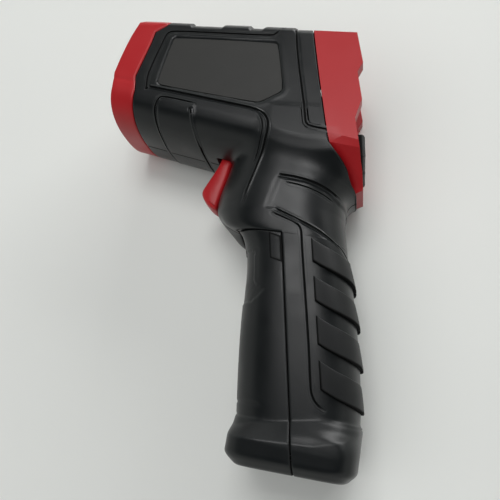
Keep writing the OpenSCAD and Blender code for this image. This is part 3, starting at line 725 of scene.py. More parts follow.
class SurfaceGroups:
    """Shader node groups that the finishes share, each built once."""

    rubbed = (0.51, 0.58)
    _made: dict = {}

    @staticmethod
    def _group(name: str, inputs: Sequence, outputs: Sequence) -> tuple:
        """A new shader group with float or colour sockets.

        Args:
            name: group name. inputs: (name, default) rows. outputs: (name, socket type) rows.
        Returns:
            The tree, its input node and its output node.
        """
        tree = bpy.data.node_groups.new(name, "ShaderNodeTree")
        for label, default in inputs:
            kind = "NodeSocketColor" if isinstance(default, tuple) else "NodeSocketFloat"
            socket = tree.interface.new_socket(label, in_out="INPUT", socket_type=kind)
            socket.default_value = default
        for label, kind in outputs:
            tree.interface.new_socket(label, in_out="OUTPUT", socket_type=kind)
        return tree, tree.nodes.new("NodeGroupInput"), tree.nodes.new("NodeGroupOutput")

    @staticmethod
    def _texture(tree: bpy.types.NodeTree, kind: str, size: bpy.types.NodeSocket,
                 repeats: float = 1.0) -> bpy.types.Node:
        """A texture on object coordinates whose features are as large as a socket says.

        Args:
            tree: the group. kind: node type. size: socket in mm. repeats: texture units in one feature.
        Returns:
            The texture node.
        """
        n, link = tree.nodes, tree.links.new
        coord, texture, scale = n.new("ShaderNodeTexCoord"), n.new(kind), n.new("ShaderNodeMath")
        scale.operation = "DIVIDE"
        scale.inputs[0].default_value = repeats / MM
        link(size, scale.inputs[1])
        link(scale.outputs[0], texture.inputs["Scale"])
        link(coord.outputs["Object"], texture.inputs["Vector"])
        return texture

    @classmethod
    def grain(cls) -> bpy.types.NodeTree:
        """Moulded grain: a height for bump and a slow unevenness for roughness.

        Returns:
            The group.
        """
        if "grain" in cls._made:
            return cls._made["grain"]
        tree, inp, out = cls._group("moulded_grain", [("Grain Size", 0.3), ("Cloud Size", 9.0)],
                                    [("Height", "NodeSocketFloat"), ("Cloud", "NodeSocketFloat")])
        for size, detail, result in (("Grain Size", 3.0, "Height"), ("Cloud Size", 4.0, "Cloud")):
            noise = cls._texture(tree, "ShaderNodeTexNoise", inp.outputs[size])
            noise.inputs["Detail"].default_value = detail
            tree.links.new(noise.outputs["Fac"], out.inputs[result])
        cls._made["grain"] = tree
        return tree

    @classmethod
    def wear(cls) -> bpy.types.NodeTree:
        """Edge wear: a mask that is 1 on rubbed outer edges, broken up by noise.

        Returns:
            The group.
        """
        if "wear" in cls._made:
            return cls._made["wear"]
        tree, inp, out = cls._group("edge_wear", [("Amount", 0.5), ("Break Up", 2.0)],
                                    [("Mask", "NodeSocketFloat")])
        n, link = tree.nodes, tree.links.new
        geo, ramp = n.new("ShaderNodeNewGeometry"), n.new("ShaderNodeMapRange")
        ramp.inputs["From Min"].default_value, ramp.inputs["From Max"].default_value = cls.rubbed
        noise = cls._texture(tree, "ShaderNodeTexNoise", inp.outputs["Break Up"])
        link(geo.outputs["Pointiness"], ramp.inputs["Value"])
        times, part = n.new("ShaderNodeMath"), n.new("ShaderNodeMath")
        times.operation = part.operation = "MULTIPLY"
        link(ramp.outputs["Result"], times.inputs[0])
        link(noise.outputs["Fac"], times.inputs[1])
        link(times.outputs[0], part.inputs[0])
        link(inp.outputs["Amount"], part.inputs[1])
        link(part.outputs[0], out.inputs["Mask"])
        cls._made["wear"] = tree
        return tree

    @classmethod
    def cut(cls) -> bpy.types.NodeTree:
        """Painted shade in joints and moulded lines: a mask that is 1 in their depth, from the mesh.

        Returns:
            The group.
        """
        if "cut" in cls._made:
            return cls._made["cut"]
        tree, _, out = cls._group("joint_shade", [], [("Mask", "NodeSocketFloat")])
        own = tree.nodes.new("ShaderNodeAttribute")
        own.attribute_name = PAINTED_SHADE_MASK
        tree.links.new(own.outputs["Fac"], out.inputs["Mask"])
        cls._made["cut"] = tree
        return tree

    @classmethod
    def lines(cls) -> bpy.types.NodeTree:
        """Turned or brushed marks in bands: a height.

        Returns:
            The group.
        """
        if "lines" in cls._made:
            return cls._made["lines"]
        tree, inp, out = cls._group("fine_lines", [("Pitch", 0.4)], [("Height", "NodeSocketFloat")])
        wave = cls._texture(tree, "ShaderNodeTexWave", inp.outputs["Pitch"], repeats=0.3)
        wave.inputs["Distortion"].default_value = 1.5
        tree.links.new(wave.outputs["Fac"], out.inputs["Height"])
        cls._made["lines"] = tree
        return tree


def mix(tree: bpy.types.NodeTree, kind: str, factor: bpy.types.NodeSocket, a: object,
        b: object) -> bpy.types.NodeSocket:
    """Adds a mix of two values or sockets.

    Args:
        tree: the material's nodes. kind: "RGBA" or "FLOAT". factor: share of b. a, b: values or sockets.
    Returns:
        The mixed socket.
    """
    node = tree.nodes.new("ShaderNodeMix")
    node.data_type = kind
    tree.links.new(factor, node.inputs["Factor"])
    for label, value in (("A", a), ("B", b)):
        if isinstance(value, bpy.types.NodeSocket):
            tree.links.new(value, node.inputs[label])
        else:
            node.inputs[label].default_value = value
    return node.outputs["Result"]


def place_group(tree: bpy.types.NodeTree, group: bpy.types.NodeTree, values: dict) -> bpy.types.Node:
    """Places a shared group in a material.

    Args:
        tree: the material's nodes. group: the group. values: value of each input that is set.
    Returns:
        The group's node.
    """
    node = tree.nodes.new("ShaderNodeGroup")
    node.node_tree = group
    for label, value in values.items():
        node.inputs[label].default_value = value
    return node


@dataclass(frozen=True)
class Finish:
    """One procedural finish: colour with variation, gloss, grain, edge wear and painted shade in joints."""

    name: str
    colour: tuple
    roughness: float = 0.45
    roughness_swing: float = 0.05
    variation: float = 0.12
    # Share of the colour left under the painted shade in joints and moulded lines
    painted_shade_tint: float = 0.12
    grain_mm: float = 0.3
    grain_height: float = 0.02
    cloud_mm: float = 9.0
    wear: float = 0.0
    wear_colour: tuple = (0.2, 0.2, 0.2, 1.0)
    metallic: float = 0.0
    coat: float = 0.0
    lines_mm: float = 0.0
    ior: float = 1.45

    def tint(self, factor: float) -> tuple:
        """The colour made darker or lighter by a factor."""
        return tuple(min(1.0, c * factor) for c in self.colour[:3]) + (1.0,)

    def _base_colour(self, tree: bpy.types.NodeTree, grain: bpy.types.Node,
                     cut: bpy.types.Node) -> bpy.types.NodeSocket:
        """The colour: a little uneven, rubbed on outer edges, and darkened by painted shade in joints.

        Args:
            tree: the material's nodes. grain, cut: placed groups.
        Returns:
            The colour.
        """
        wear = place_group(tree, SurfaceGroups.wear(), {"Amount": self.wear})
        uneven = mix(tree, "RGBA", grain.outputs["Cloud"], self.tint(1 - self.variation),
                     self.tint(1 + self.variation))
        rubbed = mix(tree, "RGBA", wear.outputs["Mask"], uneven, self.wear_colour)
        # Painted shade: the colour goes dark where the mask marks a joint or moulded line
        return mix(tree, "RGBA", cut.outputs["Mask"], rubbed, self.tint(self.painted_shade_tint))

    def _gloss(self, tree: bpy.types.NodeTree, grain: bpy.types.Node,
               cut: bpy.types.Node) -> bpy.types.NodeSocket:
        """The roughness: slowly uneven, and fully rough under the painted shade in joints.

        Args:
            tree: the material's nodes. grain, cut: placed groups.
        Returns:
            The roughness.
        """
        rough = tree.nodes.new("ShaderNodeMapRange")
        rough.inputs["From Min"].default_value, rough.inputs["From Max"].default_value = 0.3, 0.7
        rough.inputs["To Min"].default_value = max(0.02, self.roughness - self.roughness_swing)
        rough.inputs["To Max"].default_value = min(1.0, self.roughness + self.roughness_swing)
        tree.links.new(grain.outputs["Cloud"], rough.inputs["Value"])
        return mix(tree, "FLOAT", cut.outputs["Mask"], rough.outputs["Result"], 1.0)

    def _relief(self, tree: bpy.types.NodeTree, grain: bpy.types.Node) -> bpy.types.NodeSocket:
        """The normal: fine grain, then turned or brushed lines where the finish has them.

        Args:
            tree: the material's nodes. grain: placed group.
        Returns:
            The normal.
        """
        heights = [grain.outputs["Height"]]
        if self.lines_mm:
            lines = place_group(tree, SurfaceGroups.lines(), {"Pitch": self.lines_mm})
            heights.append(lines.outputs["Height"])
        normal = None
        for height in heights:
            bump = tree.nodes.new("ShaderNodeBump")
            bump.inputs["Distance"].default_value = self.grain_height * MM
            tree.links.new(height, bump.inputs["Height"])
            if normal is not None:
                tree.links.new(normal, bump.inputs["Normal"])
            normal = bump.outputs["Normal"]
        return normal

    def material(self) -> bpy.types.Material:
        """The material, built once.

        Returns:
            The material.
        """
        old = bpy.data.materials.get(self.name)
        if old:
            return old
        mat = bpy.data.materials.new(self.name)
        mat.use_nodes = True
        tree = mat.node_tree
        shader = tree.nodes["Principled BSDF"]
        grain = place_group(tree, SurfaceGroups.grain(),
                            {"Grain Size": self.grain_mm, "Cloud Size": self.cloud_mm})
        # Mask of the painted shade in joints and moulded lines
        cut = place_group(tree, SurfaceGroups.cut(), {})
        tree.links.new(self._base_colour(tree, grain, cut), shader.inputs["Base Color"])
        tree.links.new(self._gloss(tree, grain, cut), shader.inputs["Roughness"])
        tree.links.new(self._relief(tree, grain), shader.inputs["Normal"])
        shader.inputs["Metallic"].default_value = self.metallic
        shader.inputs["Coat Weight"].default_value = self.coat
        shader.inputs["IOR"].default_value = self.ior
        return mat

    def put_on(self, obj: bpy.types.Object) -> None:
        """Dresses an object in this finish.

        Args:
            obj: the object, whose slots are all filled.
        """
        if obj.material_slots:
            for slot in obj.material_slots:
                slot.material = self.material()
        else:
            obj.data.materials.append(self.material())


BLACK_SHELL = Finish("satin_black_plastic", srgb(14, 17, 18), ior=1.42, roughness=0.36, grain_height=0.02,
                     wear=0.35, wear_colour=srgb(96, 102, 102))
DOOR_SHELL = Finish("satin_black_door", srgb(14, 17, 18), ior=1.42, roughness=0.37, grain_height=0.02,
                    wear=0.35, wear_colour=srgb(96, 102, 102))
RED_SHELL = Finish("semi_gloss_red", srgb(168, 22, 28), roughness=0.42, variation=0.05,
                   grain_height=0.008, wear=0.15, wear_colour=srgb(214, 90, 90))
PAD_RUBBER = Finish("ribbed_grip_black", srgb(12, 14, 15), ior=1.36, roughness=0.5, grain_height=0.014,
                    wear=0.3, wear_colour=srgb(92, 98, 98))
LABEL_FILM = Finish("dark_label_film", srgb(38, 38, 36), roughness=0.55, variation=0.05,
                    grain_mm=0.18, grain_height=0.006)
BUTTON_RUBBER = Finish("key_black", srgb(16, 18, 19), roughness=0.5, grain_height=0.01)
NOSE_BLACK = Finish("nose_plate_black", srgb(12, 13, 14), roughness=0.45, grain_height=0.012)
BLACK_STEEL = Finish("blackened_screw_steel", srgb(26, 27, 28), roughness=0.42, metallic=1.0)
STEEL = Finish("bright_steel", srgb(190, 190, 190), roughness=0.28, metallic=1.0, lines_mm=0.3,
               grain_height=0.004)
PLATED = Finish("plated_contacts", srgb(205, 206, 208), roughness=0.22, metallic=1.0, grain_height=0.003)
CAN_STEEL = Finish("sensor_can", srgb(176, 178, 180), roughness=0.3, metallic=1.0, lines_mm=0.25,
                   grain_height=0.003)
BRASS = Finish("laser_brass", srgb(196, 160, 88), roughness=0.3, metallic=1.0, lines_mm=0.35,
               grain_height=0.004)
INNER_BLACK = Finish("inner_black_plastic", srgb(20, 22, 23), roughness=0.55, grain_height=0.015)
BOARD_GREEN = Finish("board_green", srgb(24, 84, 52), roughness=0.4, variation=0.2, grain_mm=1.2,
                     grain_height=0.006, coat=0.3)
CELL_WRAP = Finish("cell_wrap", srgb(168, 122, 44), roughness=0.32, variation=0.06, metallic=0.35,
                   grain_height=0.003)
LCD_GREY = Finish("lcd_grey", srgb(120, 130, 118), roughness=0.25, variation=0.04, grain_height=0.002)
WINDOW = Finish("smoked_window", srgb(30, 36, 34), roughness=0.07, variation=0.05, grain_height=0.0,
                coat=0.6)
LENS_FILM = Finish("infrared_lens_film", srgb(196, 190, 176), roughness=0.3, variation=0.04,
                   grain_height=0.002)
RED_GLASS = Finish("laser_window_red", srgb(150, 24, 24), roughness=0.08, grain_height=0.0, coat=0.5)


def settle_piece(obj: bpy.types.Object, body: str, nodes: Sequence[str],
                 finish: Finish) -> bpy.types.Object:
    """Dresses a piece, hangs it on its body and lets it stand for its nodes.

    Args:
        obj: the piece. body: CAD body. nodes: nodes it replaces. finish: its finish.
    Returns:
        The piece.
    """
    finish.put_on(obj)
    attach(obj, body)
    if nodes:
        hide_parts(*nodes)
    log.info("piece %s on %s", obj.name, body)
    return obj


# ---------------------------------------------------------------- housings


# Screws of the right shell that no label covers: x, y and height of the head's seat
SCREW_WELLS = ((66.0, -40.0, 17.5), (89.0, -78.0, 13.5), (103.4, -131.0, 13.5))

LABEL_OUTLINE = ((17.0, -26.4), (18.2, -9.9), (19.4, -8.9), (58.6, -9.0), (60.0, -10.2), (65.2, -28.2),
                 (64.6, -29.8), (58.2, -34.3), (56.4, -34.8), (18.4, -30.6), (17.0, -29.6))

# Lines moulded into the shells
LABEL_FRAME = Groove([(13.3, -32.0), (12.5, -28.6), (12.4, -24.8), (14.6, -9.9), (15.4, -7.2), (17.4, -6.3),
                      (28.4, -6.2), (56.4, -6.3), (57.8, -5.6), (60.6, -1.6, 19.6), (61.4, -1.0, 17.5)],
                     width=1.05)
BELLY_LINE = Groove([(14.6, -31.5), (27.1, -33.1), (40, -34.9), (50.9, -36.4), (56.6, -37.2), (60.4, -38.9),
                     (62.3, -41.6), (62.9, -45.0), (62.3, -50), (61.2, -56.5), (60, -64), (58.2, -73.5)],
                    width=1.15, lip=0.16, fade_end=0.12)
BELLY_ECHO = Groove([(57.6, -38.9), (59.2, -40.2), (60.4, -42.4), (60.9, -45.5), (60.3, -51), (59.2, -57.5)],
                    width=0.6, fade_start=0.15, fade_end=0.2)
BARREL_RINGS = (
    Groove([(34.8, -37.1), (20.6, -35.0), (19.2, -36.6), (18.4, -39.3), (18.7, -42.1, 17.8),
            (19.2, -44.5, 14.1), (19.6, -46.1, 8.4), (19.4, -46.9, 3), (19.4, -46.9, 0)],
           width=0.85, lip=0.1, fade_start=0.1),
    Groove([(32.9, -39.6), (33.9, -41.9, 19.2), (35.0, -45.1, 16.3), (36.0, -48.1, 10.8),
            (36.2, -49.4, 3.2), (36.2, -49.6, 0)], width=0.9, lip=0.12),
)
BEZEL_STRIP = Groove([(64.9, -2.0, 20.5), (66.2, -8), (68.3, -16.4), (72.0, -28.6), (74.8, -38.2),
                      (75.5, -41.2), (77.0, -42.4), (84.0, -43.1)], width=1.1)
THUMB_RIMS = (
    Groove([(69.4, -60.4), (75.2, -60.6), (80.4, -61.3), (85.4, -62.4), (88.8, -63.6, 14.6),
            (91.4, -65.2, 8.4)], width=1.35, fade_start=0.04, fade_end=0.12),
    Groove([(72.2, -62.7), (77.3, -63.1), (82.5, -64.1), (87.0, -65.4), (89.2, -66.4)],
           width=0.6, fade_start=0.1, fade_end=0.15),
    Groove([(70.4, -72.7), (76.2, -74.6), (81.4, -76.3), (86.6, -78.2), (91.6, -80.7, 15.1),
            (94.9, -82.9, 10.5), (96.6, -84.6, 6.5), (97.4, -85.2, 3)], width=1.25, lip=0.14,
           fade_start=0.05),
)
PAD_PANEL = Groove([(69.3, -74.0), (74.7, -75.6), (77.5, -76.4), (79.5, -77.4), (80.7, -79.0), (81.4, -82.4),
                    (83.2, -89.9), (85.4, -98.5), (87.7, -107.7), (89.9, -116.7), (91.8, -125.3),
                    (92.7, -128.9), (94.0, -131.0), (95.7, -132.4), (98.1, -133.4)],
                   width=0.95, fade_start=0.04, fade_end=0.05)


@dataclass
class Housing:
    """One half of the black shell: barrel side, neck, back of the grip and half of the foot."""

    side: Side
    step: float = 0.4
    gap: float = 0.14
    edge_in: float = 1.6
    ledge_in: float = 6.0
    seam_round: float = 0.3
    channel_share: float = 0.3
    channel_depth: float = 0.32
    side_drop: float = 0.24
    side_drop_z: float = 20.3
    label_depth: float = 0.55
    frame_crown: float = 0.12
    box_rise: float = 0.22
    box_front: float = 19.22
    box_rear: float = 34.4
    strip_rise: float = 0.16
    strip_front: tuple = ((64.9, -2), (68.3, -16.4), (72.0, -28.6), (74.8, -38.2), (75.8, -42.4),
                          (84.0, -43.1))
    thumb_depth: float = 0.45
    thumb_front: float = 68.3
    thumb_top: tuple = ((70, -60.9), (80, -61.6), (86, -62.9), (91, -65.5))
    thumb_low: tuple = ((70, -73.3), (82, -76.6), (87, -78.5), (92, -81.1), (96, -84.3))
    well_radius: float = 2.7
    slot_half: float = 5.5
    slot_front: float = 41.6
    slot_rear: float = 57.0
    slot_top: float = -47.5
    slot_low: float = -58.5
    slot_depth: float = 4.2
    door_top: float = -80.6
    door_width: float = 30.0
    bezel_tail: float = -60.3
    grooves: tuple = (LABEL_FRAME, BELLY_LINE, BELLY_ECHO, *BARREL_RINGS, BEZEL_STRIP, *THUMB_RIMS, PAD_PANEL)

    def rise(self, p: Array) -> Array:
        """Height of all moulded detail at points on the skin.

        Args:
            p: points on the skin.
        Returns:
            Heights.
        """
        d = self.forms_rise(p)
        for groove in self.grooves:
            d += groove.rise(p)
        return d

    def forms_rise(self, p: Array) -> Array:
        """Height of the broad forms at points on the skin: seats, boxes, strips and hollows.

        Args:
            p: points on the skin.
        Returns:
            Heights.
        """
        x, y, z = p[..., 0], p[..., 1], p[..., 2]
        d = -self.side_drop * ease((z - self.side_drop_z) / 1.1)
        # Label seat, and the frame round it crowned a little
        seat = np.where(z > 15, inside_shape(p, np.array(LABEL_OUTLINE)), -9)
        d -= self.label_depth * ease((seat + 0.15) / 0.4)
        d += self.frame_crown * np.exp(-(((seat + 1.1) / 0.9) ** 2))
        # Barrel box between the two rings
        box = np.minimum(x - self.box_front, self.box_rear + 0.12 * (-37 - y) - x)
        d += self.box_rise * ease(box / 0.7) * ease((-35.2 - 0.14 * (x - 20.6) - y) / 0.6)
        # Strip in front of the rear bezel stands a little proud
        strip = near_line(p[..., :2], smooth_line(self.strip_front, sharp=True), 60)
        proud = np.where((strip[2] > 0) & (y > -43.5) & (x > 62), strip[0], 0)
        d += self.strip_rise * ease((proud - 0.3) / 0.6)
        return d + self.thumb_hollow(x, y) + self.trigger_slot(x, y, z)

    def thumb_hollow(self, x: Array, y: Array) -> Array:
        """The smooth hollow behind the neck, with a sloping front wall.

        Args:
            x, y: places on the skin.
        Returns:
            Heights, none above 0.
        """
        run = x - self.thumb_front + 0.17 * (-61 - y)
        top, low = line_at(self.thumb_top, x), line_at(self.thumb_low, x)
        return -self.thumb_depth * ease(run / 3.0) * ease((top - y) / 0.9) * ease((y - low) / 0.9)

    def trigger_slot(self, x: Array, y: Array, z: Array) -> Array:
        """The slot in the belly and neck that the trigger moves in.

        Args:
            x, y, z: places on the skin.
        Returns:
            Heights, none above 0.
        """
        across = ease((self.slot_half - z) / 0.4)
        along = ease((x - self.slot_front) / 0.5) * ease((self.slot_rear - x) / 1.5)
        over_low, under_top = ease((y - self.slot_low) / 0.6), ease((self.slot_top - y) / 0.5)
        return -self.slot_depth * across * along * over_low * under_top

    def screw_wells(self, q: Array) -> None:
        """Sinks the wells of the screws, which are driven from the right, into a laid grid.

        Args:
            q: the grid, which is changed.
        """
        if self.side is not Side.RIGHT:
            return
        for x, y, seat in SCREW_WELLS:
            inside = ease((self.well_radius - np.hypot(q[..., 0] - x, q[..., 1] - y)) / 0.4)
            q[..., 2] += inside * np.minimum(seat - q[..., 2], 0)

    def barrel(self, draft: MeshDraft) -> None:
        """The barrel's side, top and belly.

        Args:
            draft: mesh that it is added to.
        """
        belly = np.linspace(0, 1, 84)
        belly = np.concatenate([belly[1:-1], 1 - np.array([0.006, 0.003, 0.0012, 0])])
        # Part of the outline, a height on it to start from, and fractions along it
        parts = [(0, -0.5, spaced(18.0, self.step * 1.3, True, False)),
                 (1, -2.0, spaced(4.6, 0.35, False, False)[1:]),
                 (2, -10.0, spaced(29.8, self.step, False, False)[1:]), (3, -44.0, belly)]
        rows = [(part, start_y, w) for part, start_y, where in parts for w in where]
        across = spaced(69.0, self.step)
        p = np.zeros((len(rows), len(across), 3))
        for i, (part, start_y, w) in enumerate(rows):
            y = np.full(len(across), start_y)
            for _ in range(4):
                x0, x1 = joint_x(NOSE_JOINT, y) + self.gap, joint_x(BEZEL_JOINT, y) - self.gap
                x = x0 + (x1 - x0) * across
                y, z = HEAD.section(x, np.full(len(across), w), part)
            p[i] = np.stack([x, y, z], -1)
        outside_grip = GRIP.distance(p)[:-1, :-1] > -3.0
        p = settle(p, whole)
        run = np.cumsum(np.pad(np.linalg.norm(np.diff(p, axis=1), axis=-1), ((0, 0), (1, 0))), axis=1)
        edge = np.minimum(run, run[:, -1:] - run)
        self.skin(draft, p, edge, HEAD.distance(p) - GRIP.distance(p), 1, outside_grip,
                  skirts=((slice(None), 0), (slice(None), -1)))

    def grip_rows(self) -> tuple:
        """Rows of the grip as (height, inset).

        Returns:
            The rows above the door's top, and those from there to the middle of the sole.
        """
        top = -41.5
        count = round((top - self.door_top) / self.step)
        y = top - np.arange(count) / count * (top - self.door_top)
        upper = [(v, 0.0) for v in y if v > -80.1] + [(v, 0.0) for v in (-80.2, -80.35, -80.46, -80.54)]
        lower = [(v, 0.0) for v in (-80.66, -80.74, -80.85, -81.0, *np.arange(-81.35, -149.2, -self.step))]
        sole = [(-149.6 - t * 3.7, t * 2.8) for t in np.linspace(0, 1, 12)]
        sole += [(-153.3, 2.8 + t * 18.5) for t in np.linspace(0, 1, 30)[1:]]
        return upper, lower + sole

    def grip_grid(self, rows: list, start: bool, door: bool = False) -> tuple:
        """Points of the grip for some rows.

        Args:
            rows: (height, inset). start: begin at the front seam. door: end at the split line.
        Returns:
            points, distance from the nearest rounded edge, and fractions from the seam to the split line.
        """
        to_split = spaced(self.door_width, self.step * 1.1)
        behind = spaced(35.0, self.step)
        grid, edges, to_seam = [], [], []
        for y, inset in rows:
            x, z, run = GRIP.row(y, inset)
            cut = np.interp(float(GRIP.split_at(y)), x, run)
            end = run[-1]
            if y > self.bezel_tail:
                last = float(joint_x(BEZEL_JOINT, y)) - self.gap
                end = min(end, np.interp(last, x, run))
            to_seam.append(end >= run[-1] - 1e-6)
            cut += -self.gap if door else self.gap
            s = []
            if start or door:
                s.append(to_split * cut)
            if not door:
                tail = cut + (end - cut) * behind
                s.append(tail[1:] if start else tail)
            s = np.concatenate(s)
            grid.append(np.stack([np.interp(s, run, x), np.full_like(s, y), np.interp(s, run, z)], -1))
            edges.append(np.minimum(s - s[0], s[-1] - s))
        p = np.array(grid)
        if start or door:
            p[:, 0, 2] = 0
        if not door:
            p[np.array(to_seam), -1, 2] = 0
        return p, np.array(edges), to_split

    def skin(self, draft: MeshDraft, p: Array, edge: Array, owner: Array, sign: int, keep: Array,
             skirts: Sequence) -> None:
        """Adds a settled grid with its detail, rims and skirts.

        Args:
            draft: mesh. p: points. edge: distance to the grid's open ends. owner: which form is nearer.
            sign: 1 where owner > 0 belongs to the other form. keep: cells. skirts: index pairs of edges.
        """
        out = unit(gradient(whole, p))
        normal = grid_normals(p, out)
        rise = self.rise(p) - rounded_rim(edge)
        rise -= rounded_rim(p[..., 2] + 0.02, self.seam_round)
        # Where two grids overlap, the one that the other owns goes under
        rise -= 0.3 * ease(sign * owner / 1.5)
        q = p + normal * rise[..., None]
        q[..., 2] = np.clip(q[..., 2], 0.03, HEAD.half)
        q[..., 1] += GRIP.arch(p)
        self.screw_wells(q)
        # Painted shade along the open edges and the middle seam, where the joints lie in shadow
        draft.grid(q, out, keep, painted_joint_shade(np.minimum(edge, p[..., 2] * 0.6 + 0.02)))
        for rows, cols in skirts:
            line, away = q[rows, cols], normal[rows, cols]
            if rows == -1:
                level = unit(away * np.array([1.0, 0, 1.0]))
                down = np.zeros((2,) + line.shape) + np.array([0, -1.0, 0])
                draft.grid(np.stack([line, line - level * self.ledge_in]), down)
            else:
                draft.skirt(line, -away * self.edge_in, line - p.mean((0, 1)))

    def grip(self, draft: MeshDraft) -> None:
        """The neck above the door and the back of the grip beside it.

        Args:
            draft: mesh that it is added to.
        """
        far = 9
        to_bezel = (slice(None), -1)
        upper, lower = self.grip_rows()
        for rows, neck in ((upper, True), (lower, False)):
            p, edge, to_split = self.grip_grid(rows, neck)
            p = settle(p, whole)
            owner = HEAD.distance(p) - GRIP.distance(p)
            other = (slice(None), 0)
            if neck:
                # The neck has open edges over the door's top and along the bezel only
                column = np.arange(p.shape[1])
                drop = np.where(column < len(to_split), p[..., 1] - self.door_top - 0.12, far)
                edge = np.where(column < p.shape[1] - 8, far, edge)
                edge = np.minimum(edge, np.maximum(drop, 0))
                other = (-1, slice(0, len(to_split)))
            self.skin(draft, p, edge, owner, -1, (owner > -4.5)[:-1, :-1], skirts=(to_bezel, other))

    def channel(self, draft: MeshDraft, groove: Groove) -> None:
        """A moulded line as a fine channel between two soft lips, laid in its seat on the skin.

        Args:
            draft: mesh that it is added to. groove: the line.
        """
        line = settle(smooth_line(seat_line(groove.points), step=0.5), whole, 3)
        fade = groove.fade(np.linspace(0, 1, len(line)))[:, None]
        tangent = unit(np.gradient(line, axis=0))
        across = unit(np.cross(unit(gradient(whole, line)), tangent))
        half, deep = groove.width * self.channel_share, -self.channel_depth
        # Offset from the middle, height over the seat, and shade
        flank = np.array([(half * 0.6, deep, 1.0), (half * 0.9, deep + 0.02, 1.0), (half, -0.12, 1.0),
                          (half + 0.06, 0.0, 0.5), (half + 0.16, groove.lip + 0.02, 0.0),
                          (half + 0.32, groove.lip * 0.6 + 0.018, 0.0), (0.85, 0.012, 0.0),
                          (1.25, -0.012, 0.0)])
        offset, height, shade = np.vstack([flank[::-1] * [-1, 1, 1], [(0.0, deep, 1.0)], flank]).T
        p = settle(line[:, None] + across[:, None] * offset[None, :, None], whole, 2)
        out = unit(gradient(whole, p))
        rise = self.forms_rise(p) + height * fade - 0.03 * (1 - fade)
        q = p + out * rise[..., None]
        q[..., 2] = np.minimum(q[..., 2], HEAD.half)
        # The channel's depth carries painted shade
        draft.grid(q, out, cut=shade * fade)

    def build(self) -> bpy.types.Object:
        """Makes the half, dresses it and hangs it on the housing body.

        Returns:
            The piece.
        """
        draft = MeshDraft()
        self.barrel(draft)
        self.grip(draft)
        for groove in self.grooves:
            self.channel(draft, groove)
        node = self.side.label + "_housing"
        obj = draft.finish(node + "_skin", self.side)
        return settle_piece(obj, "housing", [node], BLACK_SHELL)


@dataclass
class BatteryDoor:
    """The front of the grip and foot, one piece over both sides."""

    shell: Housing
    edge_in: float = 1.6
    ridge: tuple = ((59.0, -86.8), (64.4, -86.2), (66.7, -86.7), (67.7, -92.6), (68.8, -97.4), (70.2, -98.4),
                    (73.2, -98.5), (74.4, -103.3), (78.4, -118.6), (81.6, -133.0))
    recess: float = 0.4
    recess_low: float = -104.8
    steps: tuple = (-135.5, -139.2)
    step_depth: float = 0.3

    def rise(self, p: Array) -> Array:
        """The finger recess in front of the ridge and two shallow steps near the foot.

        Args:
            p: points on the skin.
        Returns:
            Heights, none above 0.
        """
        x, y = p[..., 0], p[..., 1]
        d, along, side = near_line(p, smooth_line(seat_line(self.ridge), sharp=True), 40)
        ahead = np.where(side < 0, d, -d)
        rise = -self.recess * ease((ahead + 0.1) / 0.45) * ease((0.55 - along) / 0.15)
        rise *= ease((y - self.recess_low) / 0.5)
        for level in self.steps:
            line = np.exp(-(((y - level - 0.05 * (x - 70)) / 0.4) ** 2))
            rise -= self.step_depth * line * ease((80 - x) / 4)
        return rise

    def build(self) -> bpy.types.Object:
        """Makes both sides as one piece.

        Returns:
            The piece.
        """
        shell = self.shell
        _, rows = shell.grip_rows()
        draft = MeshDraft()
        p, _, to_split = shell.grip_grid(rows, False, door=True)
        p = settle(p, GRIP.distance)
        out = unit(gradient(GRIP.distance, p))
        normal = grid_normals(p, out)
        from_split = (1 - to_split)[None] * shell.door_width
        drop = np.maximum(shell.door_top - shell.gap * 0.4 - p[..., 1], 0)
        edge = np.minimum(from_split, drop)
        q = p + normal * (self.rise(p) - rounded_rim(edge))[..., None]
        q[:, 0, 2] = 0
        q[..., 1] += GRIP.arch(p)
        for mirror in (1, -1):
            flip = np.array([1, 1, mirror])
            # Painted shade along the door's edges, where its joints lie in shadow
            draft.grid(q * flip, out * flip, cut=painted_joint_shade(edge))
            inward, outward = -normal * flip * self.edge_in, (q - p.mean((0, 1))) * flip
            for line in ((slice(None), -1), (0, slice(None))):
                draft.skirt((q * flip)[line], inward[line], outward[line])
        obj = draft.finish("battery_door_skin")
        return settle_piece(obj, "battery_door", ["battery_door"], DOOR_SHELL)


# ---------------------------------------------------------------- bezels


def edge_bevel(obj: bpy.types.Object, width: float) -> None:
    """Rounds an object's sharp edges.

    Args:
        obj: the object. width: in mm.
    """
    mod = obj.modifiers.new("rounded_edges", "BEVEL")
    mod.width = width * MM
    mod.segments = 3
    mod.limit_method = "ANGLE"
    mod.angle_limit = math.radians(25)
    mod.harden_normals = False
    obj.data.shade_smooth()
    smooth = obj.modifiers.new("weighted", "WEIGHTED_NORMAL")
    smooth.keep_sharp = False


def poly_object(name: str, points: Sequence, faces: Sequence) -> bpy.types.Object:
    """An object from points in instrument millimetres, its faces turned outward.

    Args:
        name: piece name. points: (x, y, z) rows. faces: index tuples.
    Returns:
        The new object.
    """
    mesh = bpy.data.meshes.new(name)
    mesh.from_pydata(to_frame(np.array(points)).tolist(), [], [tuple(f) for f in faces])
    mesh.validate()
    work = bmesh.new()
    work.from_mesh(mesh)
    bmesh.ops.remove_doubles(work, verts=work.verts, dist=0.002 * MM)
    bmesh.ops.dissolve_degenerate(work, edges=work.edges, dist=0.001 * MM)
    bmesh.ops.recalc_face_normals(work, faces=work.faces)
    work.to_mesh(mesh)
    work.free()
    obj = bpy.data.objects.new(name, mesh)
    bpy.context.scene.collection.objects.link(obj)
    return obj


